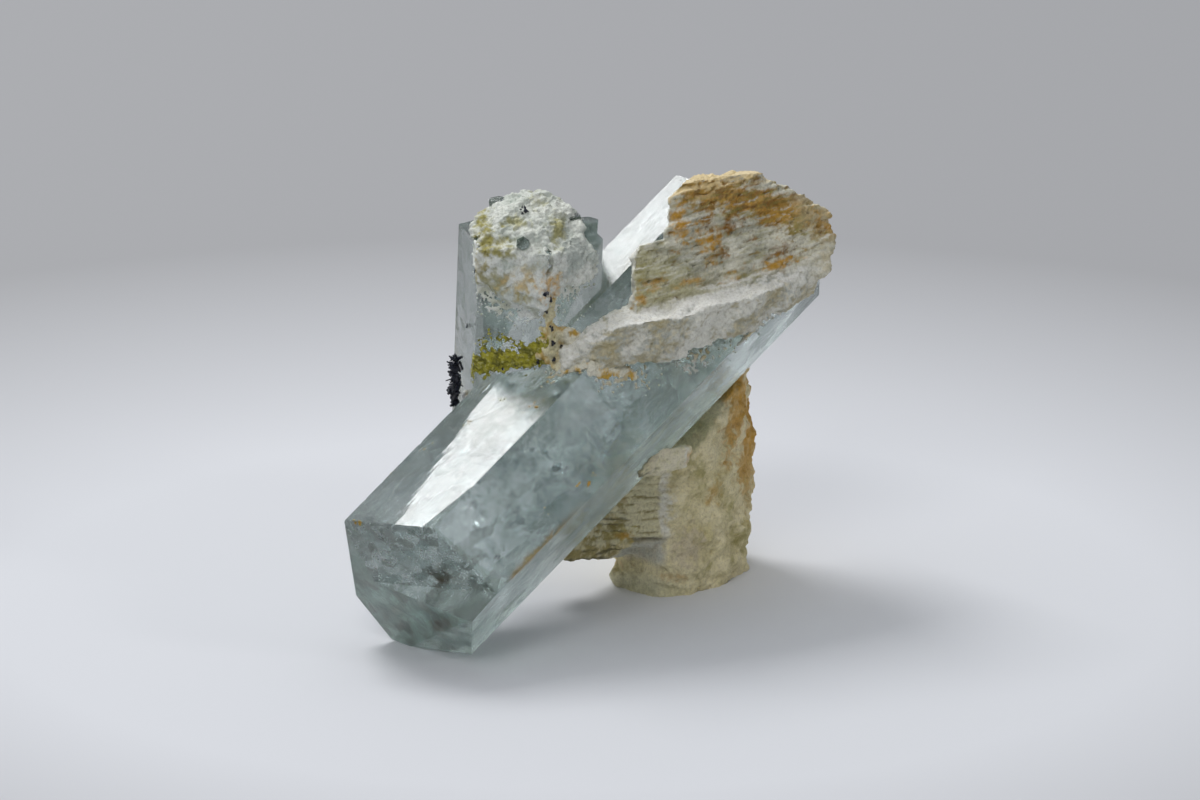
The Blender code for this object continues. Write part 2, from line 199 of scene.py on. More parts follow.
for face in crystal_bm.faces:
    normal = face.normal
    on_upright = abs(normal.dot(UPRIGHT_AXIS)) < 0.02
    on_end = abs(normal.dot(LONG_AXIS)) > 0.6
    axis = UPRIGHT_AXIS if on_upright else LONG_AXIS
    along = LONG_ABOVE * 3.0 if on_end else axis
    across = LONG_AWAY if on_end else normal.cross(axis)
    middle = face.calc_center_median() / MM
    on_top = not on_upright and normal.dot(TOP_NORMAL) > 0.999 and middle.dot(TOP_NORMAL) * MM > TOP_LEVEL
    shift = 0.0 if on_top else -400.0 - 37.0 * round(4.0 * normal.y)
    beside = any(normal.dot(front) > 0.99 for front in FRONT_FACES)
    etched, pale, green = crystal_zone(normal, middle - LONG_END)
    for loop in face.loops:
        spot = loop.vert.co / MM - LONG_END
        loop[growth].uv = (spot.dot(across) + shift, spot.dot(along))
        from_edge = abs((spot - FRONT_EDGE).dot(across)) if beside else FAR_FROM_EDGE
        loop[rust_edge].uv = (from_edge, spot.dot(LONG_AXIS))
        loop[zone] = (etched, pale, green, 1.0)
crystal_mesh = finished_mesh("crystals", crystal_bm)


def new_material(name, roughness):
    """A material and its shader, ready for colours and values."""
    finish = bpy.data.materials.new(name)
    finish.use_nodes = True
    shader = finish.node_tree.nodes["Principled BSDF"]
    shader.inputs["Roughness"].default_value = roughness
    return finish, finish.node_tree, shader


def feed(socket, value):
    """Gives a socket a number, a colour or what another node puts out."""
    if isinstance(value, bpy.types.NodeSocket):
        socket.id_data.links.new(value, socket)
    elif socket.type == "RGBA":
        socket.default_value = (*value, 1.0)
    else:
        socket.default_value = value


def place_node(tree, kind, **values):
    """A node with its settings, and with numbers or other nodes at its inputs."""
    node = tree.nodes.new(kind)
    for key, value in values.items():
        if hasattr(node, key):
            setattr(node, key, value)
        else:
            feed(node.inputs[key.replace("_", " ")], value)
    return node


def ramp(tree, factor, *stops):
    """A colour ramp fed by a factor, with (position, colour) stops."""
    node = tree.nodes.new("ShaderNodeValToRGB")
    elements = node.color_ramp.elements
    while len(elements) < len(stops):
        elements.new(0.5)
    for element, (position, colour) in zip(elements, stops):
        element.position = position
        element.color = (*colour, 1.0)
    feed(node.inputs["Fac"], factor)
    return node.outputs["Color"]


def work_out(tree, operation, *values):
    """A number worked out from numbers and from other nodes."""
    node = place_node(tree, "ShaderNodeMath", operation=operation)
    for socket, value in zip(node.inputs, values):
        feed(socket, value)
    return node.outputs["Value"]


def times(tree, first, second):
    """Two numbers multiplied."""
    return work_out(tree, "MULTIPLY", first, second)


def between(tree, value, low, high):
    """0 below low and 1 above high, or the other way round."""
    return place_node(tree, "ShaderNodeMapRange", Value=value, From_Min=low, From_Max=high).outputs["Result"]


def mix_colour(tree, share, first, second, way="MIX"):
    """Two colours, mixed or multiplied by a share."""
    node = place_node(tree, "ShaderNodeMix", data_type="RGBA", blend_type=way)
    for number, value in ((0, share), (6, first), (7, second)):
        feed(node.inputs[number], value)
    return node.outputs[2]


def raised(tree, height, strength, depth, **before):
    """A bump of the given depth in millimetres over the bumps before it."""
    node = place_node(tree, "ShaderNodeBump", Strength=strength, Distance=depth * MM, Height=height, **before)
    return node.outputs["Normal"]


def vector_work(tree, operation, first, second):
    """A vector worked out from two others."""
    node = place_node(tree, "ShaderNodeVectorMath", operation=operation)
    feed(node.inputs[0], first)
    feed(node.inputs[1], second)
    return node.outputs["Value" if operation == "DOT_PRODUCT" else "Vector"]


def parts_of(tree, kind, name, whole):
    """A colour or a vector taken apart."""
    return place_node(tree, kind, **{name: whole}).outputs


beryl, tree, shader = new_material("clear_aquamarine", 0.04)
shader.inputs["Transmission Weight"].default_value = 0.95
shader.inputs["IOR"].default_value = 1.577
here = tree.nodes.new("ShaderNodeTexCoord").outputs["Object"]
clouds = place_node(
    tree, "ShaderNodeTexNoise", Scale=360.0, Detail=10.0, Roughness=0.66, Distortion=0.8, Vector=here,
).outputs
wisps = place_node(
    tree, "ShaderNodeTexNoise", Scale=1500.0, Detail=7.0, Roughness=0.7, Distortion=1.2, Vector=here,
).outputs
zone_colour = place_node(tree, "ShaderNodeAttribute", attribute_name="zone").outputs["Color"]
etched, pale, green = parts_of(tree, "ShaderNodeSeparateColor", "Color", zone_colour)
growth_space = place_node(tree, "ShaderNodeUVMap", uv_map="growth").outputs["UV"]
warp = vector_work(tree, "MULTIPLY", clouds["Color"], (1.6, 1.2, 0.0))
mosaic_space = vector_work(tree, "ADD", vector_work(tree, "MULTIPLY", growth_space, (1.1, 0.5, 0.0)), warp)
mosaic = place_node(
    tree, "ShaderNodeTexVoronoi", voronoi_dimensions="2D", Scale=1.0, Vector=mosaic_space,
).outputs
tile = parts_of(tree, "ShaderNodeSeparateColor", "Color", mosaic["Color"])
# Painted reflections: blocky light and dark tiles painted into the colour, standing in for internal
# reflections.
painted_reflections = ramp(
    tree, tile["Red"],
    (0.15, (0.07, 0.08, 0.05)), (0.27, (0.38, 0.46, 0.44)), (0.45, (0.76, 0.84, 0.84)),
    (0.65, (1.0, 1.0, 1.0)),
)
depths = ramp(
    tree, clouds["Fac"],
    (0.36, (0.40, 0.47, 0.45)), (0.46, (0.66, 0.73, 0.72)), (0.52, (0.90, 0.94, 0.94)),
    (0.64, (1.0, 1.0, 1.0)),
)
specks = ramp(
    tree, wisps["Fac"],
    (0.36, (0.42, 0.48, 0.46)), (0.44, (0.84, 0.88, 0.88)), (0.50, (1.0, 1.0, 1.0)),
)
colour = mix_colour(tree, 1.0, depths, specks, "MULTIPLY")
rust_space = place_node(tree, "ShaderNodeUVMap", uv_map="rust_edge").outputs["UV"]
from_edge, along, _ = parts_of(tree, "ShaderNodeSeparateXYZ", "Vector", rust_space)
from_end = work_out(tree, "MULTIPLY_ADD", clouds["Fac"], 5.0, along)
# Painted light and shade along the long crystal: the low end is painted paler and the middle is painted
# darker.
painted_light_end = times(tree, between(tree, from_end, 8.5, 5.0), 0.75)
colour = mix_colour(tree, painted_light_end, colour, (0.97, 1.0, 1.0))
painted_shade_middle = times(tree, between(tree, from_end, 7.5, 11.0), 0.4)
colour = mix_colour(tree, painted_shade_middle, colour, (0.33, 0.40, 0.38))
worn = work_out(tree, "MAXIMUM", etched, green)
# Painted reflections cover the low end and the etched and green faces fully, and everything else at a quarter
# strength.
reflection_share = times(tree, between(tree, from_end, 14.0, 6.0), 0.45)
reflection_share = work_out(tree, "MAXIMUM", reflection_share, times(tree, worn, 0.95))
reflections_painted_in = mix_colour(tree, 1.0, colour, painted_reflections, "MULTIPLY")
colour = mix_colour(tree, work_out(tree, "MAXIMUM", reflection_share, 0.25), colour, reflections_painted_in)
# Green tint: partly the crystals' own colour, partly painted shade on the downward-facing low end.
greened_and_shaded = mix_colour(tree, 1.0, colour, (0.50, 0.68, 0.57), "MULTIPLY")
colour = mix_colour(tree, times(tree, green, 0.9), colour, greened_and_shaded)
colour = mix_colour(tree, times(tree, pale, 0.85), colour, (1.0, 1.0, 0.98))
shadowed = times(tree, between(tree, clouds["Fac"], 0.50, 0.40), worn)
colour = mix_colour(tree, times(tree, shadowed, 0.75), colour, (0.16, 0.17, 0.12))
frosted = times(tree, between(tree, wisps["Fac"], 0.50, 0.60), etched)
colour = mix_colour(tree, frosted, colour, (0.97, 0.99, 1.0))
wander = work_out(tree, "MULTIPLY_ADD", wisps["Fac"], -1.5, from_edge)
rust = times(tree, between(tree, wander, -0.40, -0.62), between(tree, along, 2.6, 3.4))
rust = times(tree, rust, between(tree, along, 11.0, 8.0))
feed(shader.inputs["Base Color"], mix_colour(tree, rust, colour, (0.42, 0.19, 0.04)))
dulled = ramp(tree, clouds["Fac"], (0.52, (0.012,) * 3), (0.60, (0.05,) * 3), (0.70, (0.16,) * 3))
stretched = vector_work(tree, "MULTIPLY", growth_space, (7.0, 0.22, 1.0))
lines = place_node(tree, "ShaderNodeTexNoise", Scale=1.0, Detail=5.0, Roughness=0.7, Vector=stretched).outputs
streaked = work_out(tree, "MULTIPLY_ADD", between(tree, lines["Fac"], 0.50, 0.62), 0.09, dulled)
feed(shader.inputs["Roughness"], work_out(tree, "MULTIPLY_ADD", frosted, 0.30, streaked))
relief = raised(tree, lines["Fac"], 0.4, 0.035)
fall = vector_work(tree, "DOT_PRODUCT", growth_space, (1.0, -0.19, 0.0))
ragged = work_out(tree, "MULTIPLY_ADD", lines["Fac"], 2.4, fall)
tilted = work_out(tree, "MAXIMUM", work_out(tree, "ADD", ragged, -0.75), 0.0)
relief = raised(tree, tilted, 1.0, 0.16, Normal=relief)
from_middle = vector_work(tree, "SUBTRACT", mosaic_space, mosaic["Position"])
lean = vector_work(tree, "SUBTRACT", mosaic["Color"], (0.5, 0.5, 0.5))
facets = times(tree, vector_work(tree, "DOT_PRODUCT", from_middle, lean), etched)
relief = raised(tree, facets, 1.0, 1.7, Normal=relief)
relief = raised(tree, times(tree, wisps["Fac"], etched), 0.9, 0.34, Normal=relief)
feed(shader.inputs["Normal"], relief)
depth_colour = place_node(tree, "ShaderNodeVolumeAbsorption", Density=36.0, Color=(0.62, 0.80, 0.75))
feed(tree.nodes["Material Output"].inputs["Volume"], depth_colour.outputs["Volume"])
crystal_mesh.materials.append(beryl)
add_piece("crystals", crystal_mesh, "aquamarine", "aquamarine_crystals")

# Veils inside the crystals: healed cracks, each a curved sheet of tiny flat cavities that catch the
# light. They cross the long crystal on a slant and crowd together near its low end.
def node_group(name, kind, takes, gives):
    """A node group with its inputs and outputs, each a name and a kind of socket."""
    tree = bpy.data.node_groups.new(name, kind)
    for in_out, sockets in (("INPUT", takes), ("OUTPUT", gives)):
        for socket, socket_kind in sockets.items():
            tree.interface.new_socket(socket, in_out=in_out, socket_type="NodeSocket" + socket_kind)
    return tree, tree.nodes.new("NodeGroupInput").outputs, tree.nodes.new("NodeGroupOutput").inputs


def random_number(tree, low, high):
    """A number of its own for each grain."""
    node = place_node(tree, "FunctionNodeRandomValue", data_type="FLOAT")
    feed(node.inputs[2], low)
    feed(node.inputs[3], high)
    return node.outputs[1]


def scatter_tree():
    """Grains spread over a surface, turned to it, with their size, flatness and number as inputs."""
    tree, given, made = node_group(
        "scattered_grains", "GeometryNodeTree",
        {"Geometry": "Geometry", "Density": "Float", "Smallest": "Float", "Largest": "Float",
         "Thickness": "Float", "Lean": "Float", "Seed": "Int", "Material": "Material"},
        {"Geometry": "Geometry"},
    )
    cover = place_node(tree, "GeometryNodeInputNamedAttribute", data_type="FLOAT", Name="cover")
    share = times(tree, given["Density"], cover.outputs["Attribute"])
    spread = place_node(
        tree, "GeometryNodeDistributePointsOnFaces", Mesh=given["Geometry"], Density=share,
        Seed=given["Seed"],
    )
    grain = place_node(tree, "GeometryNodeMeshUVSphere", Segments=5, Rings=2)
    size = random_number(tree, given["Smallest"], given["Largest"])
    thin = times(tree, size, given["Thickness"])
    shape = place_node(tree, "ShaderNodeCombineXYZ", X=times(tree, size, 1.5), Y=size, Z=thin)
    tip = random_number(tree, times(tree, given["Lean"], -1.0), given["Lean"])
    spin = place_node(tree, "ShaderNodeCombineXYZ", X=tip, Z=random_number(tree, 0.0, 6.283))
    spun = place_node(
        tree, "FunctionNodeRotateEuler", space="LOCAL", Rotation=spread.outputs["Rotation"],
        Rotate_By=spin.outputs["Vector"],
    )
    place = place_node(
        tree, "GeometryNodeInstanceOnPoints", Points=spread.outputs["Points"],
        Instance=grain.outputs["Mesh"], Scale=shape.outputs["Vector"], Rotation=spun.outputs["Rotation"],
    )
    real = place_node(tree, "GeometryNodeRealizeInstances", Geometry=place.outputs["Instances"])
    painted = place_node(
        tree, "GeometryNodeSetMaterial", Geometry=real.outputs["Geometry"], Material=given["Material"],
    )
    feed(made["Geometry"], painted.outputs["Geometry"])
    return tree


grain_tree = scatter_tree()


def scattered(surface, **values):
    """The plain mesh of grains that the tree spreads over a surface."""
    source = in_scene("surface", surface)
    modifier = source.modifiers.new("grains", "NODES")
    modifier.node_group = grain_tree
    for name, value in values.items():
        modifier[grain_tree.interface.items_tree[name].identifier] = value
    return evaluated(source)


def inside_long(away, above, margin):
    """True where a point lies in the long crystal, clear of its side faces."""
    reach = LONG_SIDE * math.cos(math.radians(30.0)) - margin
    return all(away * math.cos(turn) + above * math.sin(turn) < reach for turn in LONG_FACES)


def veil(bm, cover, centre, lean, size, wave, seed):
    """One healed crack: a gently folded sheet, kept inside the long crystal."""
    steps = 36
    turn = Matrix.Rotation(math.radians(lean[0]), 3, "X") @ Matrix.Rotation(math.radians(lean[1]), 3, "Y")
    rows = []
    for i in range(steps):
        row = []
        for j in range(steps):
            u = (i / (steps - 1) - 0.5) * size[0]
            v = (j / (steps - 1) - 0.5) * size[1]
            fold = noise.fractal(Vector((u * 0.35, v * 0.35, seed)), 1.0, 2.0, 3) * wave
            spot = Vector(centre) + turn @ Vector((u, v, fold))
            inside = inside_long(spot.x, spot.y, 0.25) and 0.9 < spot.z < 33.0
            vert = bm.verts.new(in_long(*spot) * MM) if inside else None
            if vert is not None:
                patchy = noise.fractal(Vector((u * 0.8, v * 0.8, seed + 9.0)), 0.8, 2.0, 4)
                vert[cover] = max(0.0, min(1.0, 0.35 + 1.4 * patchy))
            row.append(vert)
        rows.append(row)
    for i in range(steps - 1):
        for j in range(steps - 1):
            corners = (rows[i][j], rows[i + 1][j], rows[i + 1][j + 1], rows[i][j + 1])
            if all(corners):
                bm.faces.new(corners)


VEILS = (
    ((0.0, 0.5, 3.2), (18.0, 10.0), (10.0, 9.0), 1.2, 3.1),
    ((0.6, -1.0, 6.4), (32.0, -14.0), (10.0, 10.0), 1.4, 8.7),
    ((-1.0, 0.6, 10.2), (-24.0, 30.0), (9.0, 11.0), 1.6, 4.4),
    ((0.4, 0.0, 14.6), (60.0, 8.0), (9.0, 12.0), 1.5, 6.2),
    ((-2.0, 0.4, 18.5), (75.0, -20.0), (8.0, 13.0), 1.0, 1.9),
    ((-2.8, -1.6, 23.0), (82.0, 30.0), (7.0, 14.0), 0.8, 7.3),
    ((1.2, 1.2, 26.5), (40.0, 12.0), (9.0, 9.0), 1.4, 2.6),
)
veil_bm = bmesh.new()
cover = veil_bm.verts.layers.float.new("cover")
for centre, lean, size, wave, seed in VEILS:
    veil(veil_bm, cover, centre, lean, size, wave, seed)
veil_sheets = finished_mesh("veil_sheets", veil_bm)

cavity, tree, shader = new_material("veil_cavities", 0.10)
feed(shader.inputs["Metallic"], 1.0)
feed(shader.inputs["Base Color"], (0.95, 0.98, 1.0))
feed(shader.inputs["Specular IOR Level"], 1.0)
for name, density, smallest, largest, thickness, lean, seed in (
    ("veils", 15e6, 0.012, 0.17, 0.08, 0.8, 5), ("veil_glints", 1.1e6, 0.08, 0.30, 0.05, 0.6, 8),
):
    veil_mesh = scattered(
        veil_sheets, Density=density, Smallest=smallest * MM, Largest=largest * MM, Thickness=thickness,
        Lean=lean, Seed=seed, Material=cavity,
    )
    add_piece(name, veil_mesh, "aquamarine")

# Open cracks inside the low end: thin bright breaks that mirror the light, and a few that iron has
# turned brown. Each is a flat splinter-shaped gap set well inside the crystal.
CRACKS = (
    ((-1.3, 0.0, 1.3), 1.2, 10, "rusty_crack"),
    ((-1.0, -2.6, 1.5), 1.3, 12, "rusty_crack"),
    ((-2.6, -0.8, 2.0), 1.6, 26, "bright_crack"),
    ((-2.9, 1.4, 4.0), 1.6, 22, "bright_crack"),
    ((-3.2, -0.6, 6.0), 1.6, 18, "bright_crack"),
    ((0.6, -1.6, 1.4), 1.8, 16, "bright_crack"),
    ((-2.8, 0.8, 10.5), 1.6, 16, "bright_crack"),
    ((-3.0, -1.6, 15.5), 2.0, 14, "bright_crack"),
)
CRACK_FINISHES = {
    "bright_crack": ((0.90, 0.95, 0.96), 0.12, 1.0),
    "rusty_crack": ((0.20, 0.10, 0.03), 0.35, 0.0),
}
chance = random.Random(31)
for kind, (colour, roughness, mirror) in CRACK_FINISHES.items():
    crack_bm = bmesh.new()
    for middle, reach, number, finish_name in CRACKS:
        if finish_name != kind:
            continue
        for _ in range(number):
            spot = [value + chance.gauss(0.0, 0.5) * reach for value in middle]
            size = chance.uniform(0.18, 0.62) if kind == "rusty_crack" else chance.uniform(0.06, 0.36)
            if spot[2] < 0.6 + size or not inside_long(*spot[:2], 0.2 + size):
                continue
            start = len(crack_bm.verts)
            shard(crack_bm, Vector(), Vector((1.4, 0.8, 0.10)) * size * MM, chance, 7)
            crack_bm.verts.ensure_lookup_table()
            turn = Matrix.Rotation(chance.uniform(-0.7, 0.7), 4, "X")
            turn = turn @ Matrix.Rotation(chance.uniform(0.2, 1.4), 4, "Y")
            turn = turn @ Matrix.Rotation(chance.uniform(0.0, 6.2), 4, "Z")
            place = Matrix.Translation(in_long(*spot) * MM) @ turn
            bmesh.ops.transform(crack_bm, matrix=place, verts=crack_bm.verts[start:])
    bmesh.ops.recalc_face_normals(crack_bm, faces=crack_bm.faces)
    crack_mesh = finished_mesh(kind, crack_bm)
    finish, tree, shader = new_material(kind, roughness)
    feed(shader.inputs["Base Color"], colour)
    feed(shader.inputs["Metallic"], mirror)
    crack_mesh.materials.append(finish)
    add_piece(kind + "s", crack_mesh, "aquamarine")

# Feldspar cap: a stained wall and a pale ledge of rough feldspar, grown over the raised end of the
# long crystal. The wall is streaked along its cleavage, and iron has stained its hollows brown.
WALL_UPPER = (
    (3.4, 0.0, 0.0), (3.4, 0.0, 4.1), (4.2, 0.0, 6.3), (6.1, 0.0, 7.6), (10.2, 0.0, 7.0),
    (11.6, 0.0, 6.3), (13.8, 0.0, 4.3), (15.7, 0.0, 3.2), (15.4, 0.0, 1.0), (14.4, 0.0, -0.6),
    (4.2, 1.4, 0.0), (5.0, 1.4, 5.6), (8.0, 3.4, 6.6), (11.0, 5.6, 5.6), (14.2, 6.4, 2.6),
    (13.6, 5.8, -1.5),
)
WALL_LOWER = (
    (0.0, 0.0, 0.0), (0.7, 0.0, 3.2), (1.5, 0.0, 4.1), (4.6, 0.0, 4.1), (4.6, 0.0, 0.0),
    (0.6, 1.4, 0.0), (1.4, 1.2, 3.6), (4.6, 1.4, 3.6), (4.6, 1.6, -1.5), (1.0, 1.4, -1.5),
)
END_PLATE = (
    (-4.2, 4.0, 33.0), (2.6, 5.6, 33.0), (-6.2, 0.4, 34.0), (0.0, -1.5, 34.0), (4.2, 1.4, 34.0),
    (-3.4, 4.9, 35.9), (2.0, 4.8, 35.5), (-5.6, 0.6, 36.3), (0.0, -1.0, 36.2), (3.4, 1.4, 35.9),
)
LEDGE = (
    ((11.6, -2.1, 17.3), (12.6, -1.3, 18.8), (13.8, 1.2, 18.6)),
    ((14.5, -4.7, 17.0), (14.0, -4.8, 20.0), (16.0, -1.5, 19.8)),
    ((19.9, -5.9, 17.3), (19.3, -6.4, 20.3), (20.8, -3.4, 20.5)),
    ((24.6, -6.8, 18.0), (24.3, -7.3, 20.5), (25.8, -4.2, 20.8)),
    ((30.6, -5.8, 18.9), (29.8, -6.7, 21.2), (30.0, -4.2, 21.4)),
)
GROUND = Vector((-15.55, -0.2, 0.0))
GROUND_PLACE = Matrix.Translation(GROUND)


def own_place(origin, *axes):
    """The frame of a piece with its own origin and axes."""
    return Matrix.Translation(origin) @ Matrix(axes).transposed().to_4x4()


LONG_PLACE = own_place(LONG_END, LONG_AWAY, LONG_ABOVE, LONG_AXIS)
WALL_PLACE = (
    Matrix.Translation((1.15, -3.9, 20.2))
    @ Matrix.Rotation(math.radians(-12.7), 4, "Z")
    @ Matrix.Rotation(math.radians(-4.6), 4, "Y")
    @ Matrix.Rotation(math.radians(-21.8), 4, "X")
)
TO_WALL = WALL_PLACE.inverted()
BOX_LOW = numpy.array(cad_box[0])
BOX_HIGH = numpy.array(cad_box[1])


def smooth_step(value, low, high):
    """0 below low, 1 above high, and an easy slope between."""
    share = max(0.0, min(1.0, (value - low) / (high - low)))
    return share * share * (3.0 - 2.0 * share)


def streaks(spot, spacing, octaves=4, roughness=0.8):
    """Noise with a spacing in millimetres, the same every way or one for each axis."""
    if isinstance(spacing, float):
        spacing = (spacing,) * 3
    return noise.fractal(Vector(spot[axis] / spacing[axis] for axis in range(3)), roughness, 2.0, octaves)


def pitted(spot, spacing, rise):
    """Pits: the low parts of a noise of their own."""
    return min(0.0, streaks(spot + Vector((9.0, 3.0, 1.0)), spacing, 3) + rise)


def spotted(spot, spacing):
    """Small spots: a noise of their own."""
    return streaks(spot + Vector((4.0, 0.0, 7.0)), spacing, 4)


def even_skin(mesh, facet, easing):
    """The outer skin of overlapping solids in small even facets, its edges slightly worn."""
    source = in_scene("skin", mesh)
    remesh = source.modifiers.new("skin", "REMESH")
    remesh.mode = "VOXEL"
    remesh.voxel_size = facet * MM
    ease = source.modifiers.new("ease", "SMOOTH")
    ease.iterations = easing
    return evaluated(source)


def main_piece_only(mesh):
    """Drops the loose chips that a cut leaves beside a piece."""
    bm = bmesh.new()
    bm.from_mesh(mesh)
    waiting = set(bm.verts)
    pieces = []
    while waiting:
        piece = set()
        border = [waiting.pop()]
        while border:
            vert = border.pop()
            piece.add(vert)
            for edge in vert.link_edges:
                other = edge.other_vert(vert)
                if other in waiting:
                    waiting.remove(other)
                    border.append(other)
        pieces.append(piece)
    pieces.sort(key=len, reverse=True)
    for piece in pieces[1:]:
        bmesh.ops.delete(bm, geom=list(piece), context="VERTS")
    bm.to_mesh(mesh)
    bm.free()


crystal_core_bm = merged_copy("aquamarine_crystals")
crystal_core_bm.normal_update()
for vert in crystal_core_bm.verts:
    vert.co -= vert.normal * 0.05 * MM
crystal_core_mesh = finished_mesh("crystal_core", crystal_core_bm)


def rough_stone(blocks, facet, lumps, relief):
    """Blocks joined into one rough stone with lumps and fine relief, and fitted to the crystals."""
    bm = bmesh.new()
    for corners, place in blocks:
        hull_round(bm, [place @ Vector(corner) * MM for corner in corners])
    mesh = even_skin(finished_mesh("blocks", bm), facet, 3)
    depth, spacing, place = lumps
    to_frame = place.to_3x3().inverted()
    normals = [vert.normal.copy() for vert in mesh.vertices]
    for vert, normal in zip(mesh.vertices, normals):
        spot = to_frame @ (vert.co / MM)
        vert.co += normal * streaks(spot, spacing, 3, 0.9) * depth * MM
    mesh = even_skin(mesh, facet, 2)
    normals = [vert.normal.copy() for vert in mesh.vertices]
    for vert, normal in zip(mesh.vertices, normals):
        spot = vert.co + normal * relief(vert.co / MM, normal) * MM
        vert.co = Vector(numpy.clip(spot, BOX_LOW, BOX_HIGH))
    source = in_scene("uncut", mesh)
    core = in_scene("core", crystal_core_mesh)
    cut_away(source, core, "MANIFOLD")
    mesh = evaluated(source)
    bpy.data.objects.remove(core)
    main_piece_only(mesh)
    return mesh


def colour_in(mesh, tint):
    """Gives each point of a stone its colour."""
    mesh.color_attributes.new("tint", "FLOAT_COLOR", "POINT")
    colours = mesh.color_attributes["tint"]
    for index, vert in enumerate(mesh.vertices):
        colours.data[index].color = (*tint(vert.co / MM, vert.normal), 1.0)
    for polygon in mesh.polygons:
        polygon.use_smooth = True


def blend(first, second, share):
    """A colour between two."""
    share = max(0.0, min(1.0, share))
    return tuple(a + (b - a) * share for a, b in zip(first, second))


def stained(colour, across, up, ragged, stains):
    """A colour under ragged stains, each a middle, half its length and height, a tint and a strength."""
    for (middle_across, middle_up), (half_length, half_height), tint, strength in stains:
        gap = math.hypot((across - middle_across) / half_length, (up - middle_up) / half_height)
        colour = blend(colour, tint, strength * smooth_step(1.0 - gap + ragged, -0.1, 1.2))
    return colour


def cap_relief(spot, normal):
    on_wall = TO_WALL @ spot
    bands = streaks(on_wall, (2.6, 1.6, 0.42), 5)
    lumps = streaks(spot, 0.9, 5, 0.7)
    pits = pitted(spot, (0.5, 0.5, 0.38), 0.25)
    wall = smooth_step(on_wall.z, -0.4, 0.6) * smooth_step(-normal.y, 0.1, 0.6)
    return wall * (0.20 * bands + 0.08 * lumps + 0.38 * pits) + (1.0 - wall) * (0.20 * lumps + 0.22 * pits)


WHITE = (0.88, 0.87, 0.78)
GREY = (0.50, 0.52, 0.47)
OLIVE = (0.40, 0.36, 0.11)
OCHRE = (0.66, 0.36, 0.05)
BROWN = (0.30, 0.15, 0.03)
WALL_STAINS = (
    ((4.7, 4.9), (1.0, 1.7), OCHRE, 1.0), ((6.6, 3.4), (1.3, 1.6), OCHRE, 1.0),
    ((6.9, 4.1), (0.9, 0.7), BROWN, 0.9), ((8.4, 3.7), (1.2, 0.5), BROWN, 1.0),
    ((7.2, 2.3), (0.8, 0.5), BROWN, 0.8), ((12.4, 3.6), (1.6, 0.8), OCHRE, 0.7),
    ((11.3, 2.4), (0.3, 0.25), OCHRE, 1.0), ((11.4, 1.2), (1.1, 0.8), BROWN, 1.0),
    ((10.6, 0.6), (2.2, 0.6), OCHRE, 1.0), ((13.0, 2.8), (1.0, 1.2), OLIVE, 0.6),
    ((8.8, 0.3), (1.4, 0.5), OLIVE, 0.9), ((1.7, 1.5), (1.0, 0.5), OCHRE, 0.7),
    ((4.1, 1.0), (1.2, 0.5), OCHRE, 0.7), ((7.3, 0.5), (0.7, 0.4), OCHRE, 0.8),
    ((1.2, 2.8), (1.4, 1.0), OLIVE, 0.5), ((0.4, 0.7), (0.7, 0.7), OCHRE, 0.8),
)


def cap_tint(spot, normal):
    on_wall = TO_WALL @ spot
    across, up = on_wall.x, on_wall.z
    broad = streaks(spot, 3.0, 4)
    fine = streaks(on_wall, (1.5, 1.0, 0.40), 5)
    fibres = streaks(on_wall + Vector((5.0, 2.0, 1.0)), (1.3, 0.4, 0.14), 4)
    spots = spotted(spot, (0.45, 0.45, 0.3))
    wall = smooth_step(up, -0.3, 0.5) * smooth_step(-normal.y, 0.0, 0.5)
    colour = blend(WHITE, GREY, 0.30 + 1.2 * broad + 0.8 * spots)
    colour = blend(colour, (0.66, 0.56, 0.30), 0.6 * smooth_step(0.7 * broad - 0.6 * spots, 0.10, 0.7))
    if wall > 0.0:
        cream = blend((0.84, 0.81, 0.66), (0.50, 0.50, 0.40), 0.40 + 0.9 * broad + 0.7 * fine)
        cream = blend(cream, (0.56, 0.53, 0.30), 0.75 * (1.0 - smooth_step(across + up, 4.5, 7.5)))
        layered = blend(cream, OLIVE, 0.45 * smooth_step(fibres + 0.4 * fine, 0.05, 0.7))
        layered = blend(layered, WHITE, 0.5 * smooth_step(-fibres - 0.4 * fine, 0.15, 0.7))
        rusty = math.exp(-((up + 0.474 * across - 9.8) / 1.35) ** 2) * smooth_step(across, 4.4, 6.0)
        share = smooth_step(rusty + 0.5 * fine + 0.4 * spots, 0.18, 0.72)
        rust = blend(OCHRE, BROWN, 0.40 + 1.1 * spots + 0.8 * fine)
        layered = blend(layered, blend(rust, OLIVE, 0.20 + 0.7 * fibres), 0.95 * share)
        layered = stained(layered, across, up, 0.9 * spots + 0.5 * fine, WALL_STAINS)
        colour = blend(colour, layered, wall)
    # The up-facing ledge top below the wall is whitened: partly the ledge's own pale colour, partly painted
    # light from above.
    pale_lit_top = smooth_step(normal.z, 0.45, 0.8) * (1.0 - smooth_step(up, 0.2, 0.8))
    colour = blend(colour, (0.96, 0.95, 0.90), 0.8 * pale_lit_top)
    # Painted shade: downward-facing parts away from the wall are darkened towards brown.
    under = (1.0 - wall) * smooth_step(-normal.z, -0.35, 0.3)
    under = under * smooth_step(0.6 * broad + 0.8 * spots, -0.1, 0.5)
    colour = blend(colour, (0.56, 0.46, 0.22), 0.6 * under)
    beige = smooth_step(up, 5.6, 6.4) * smooth_step(normal.z, 0.2, 0.6)
    colour = blend(colour, (0.80, 0.62, 0.32), 0.8 * beige)
    end = smooth_step(across, 12.6, 14.4) * smooth_step(0.5 + 0.6 * broad + 0.5 * spots, 0.0, 0.6)
    return blend(colour, (0.72, 0.64, 0.42), 0.7 * end)


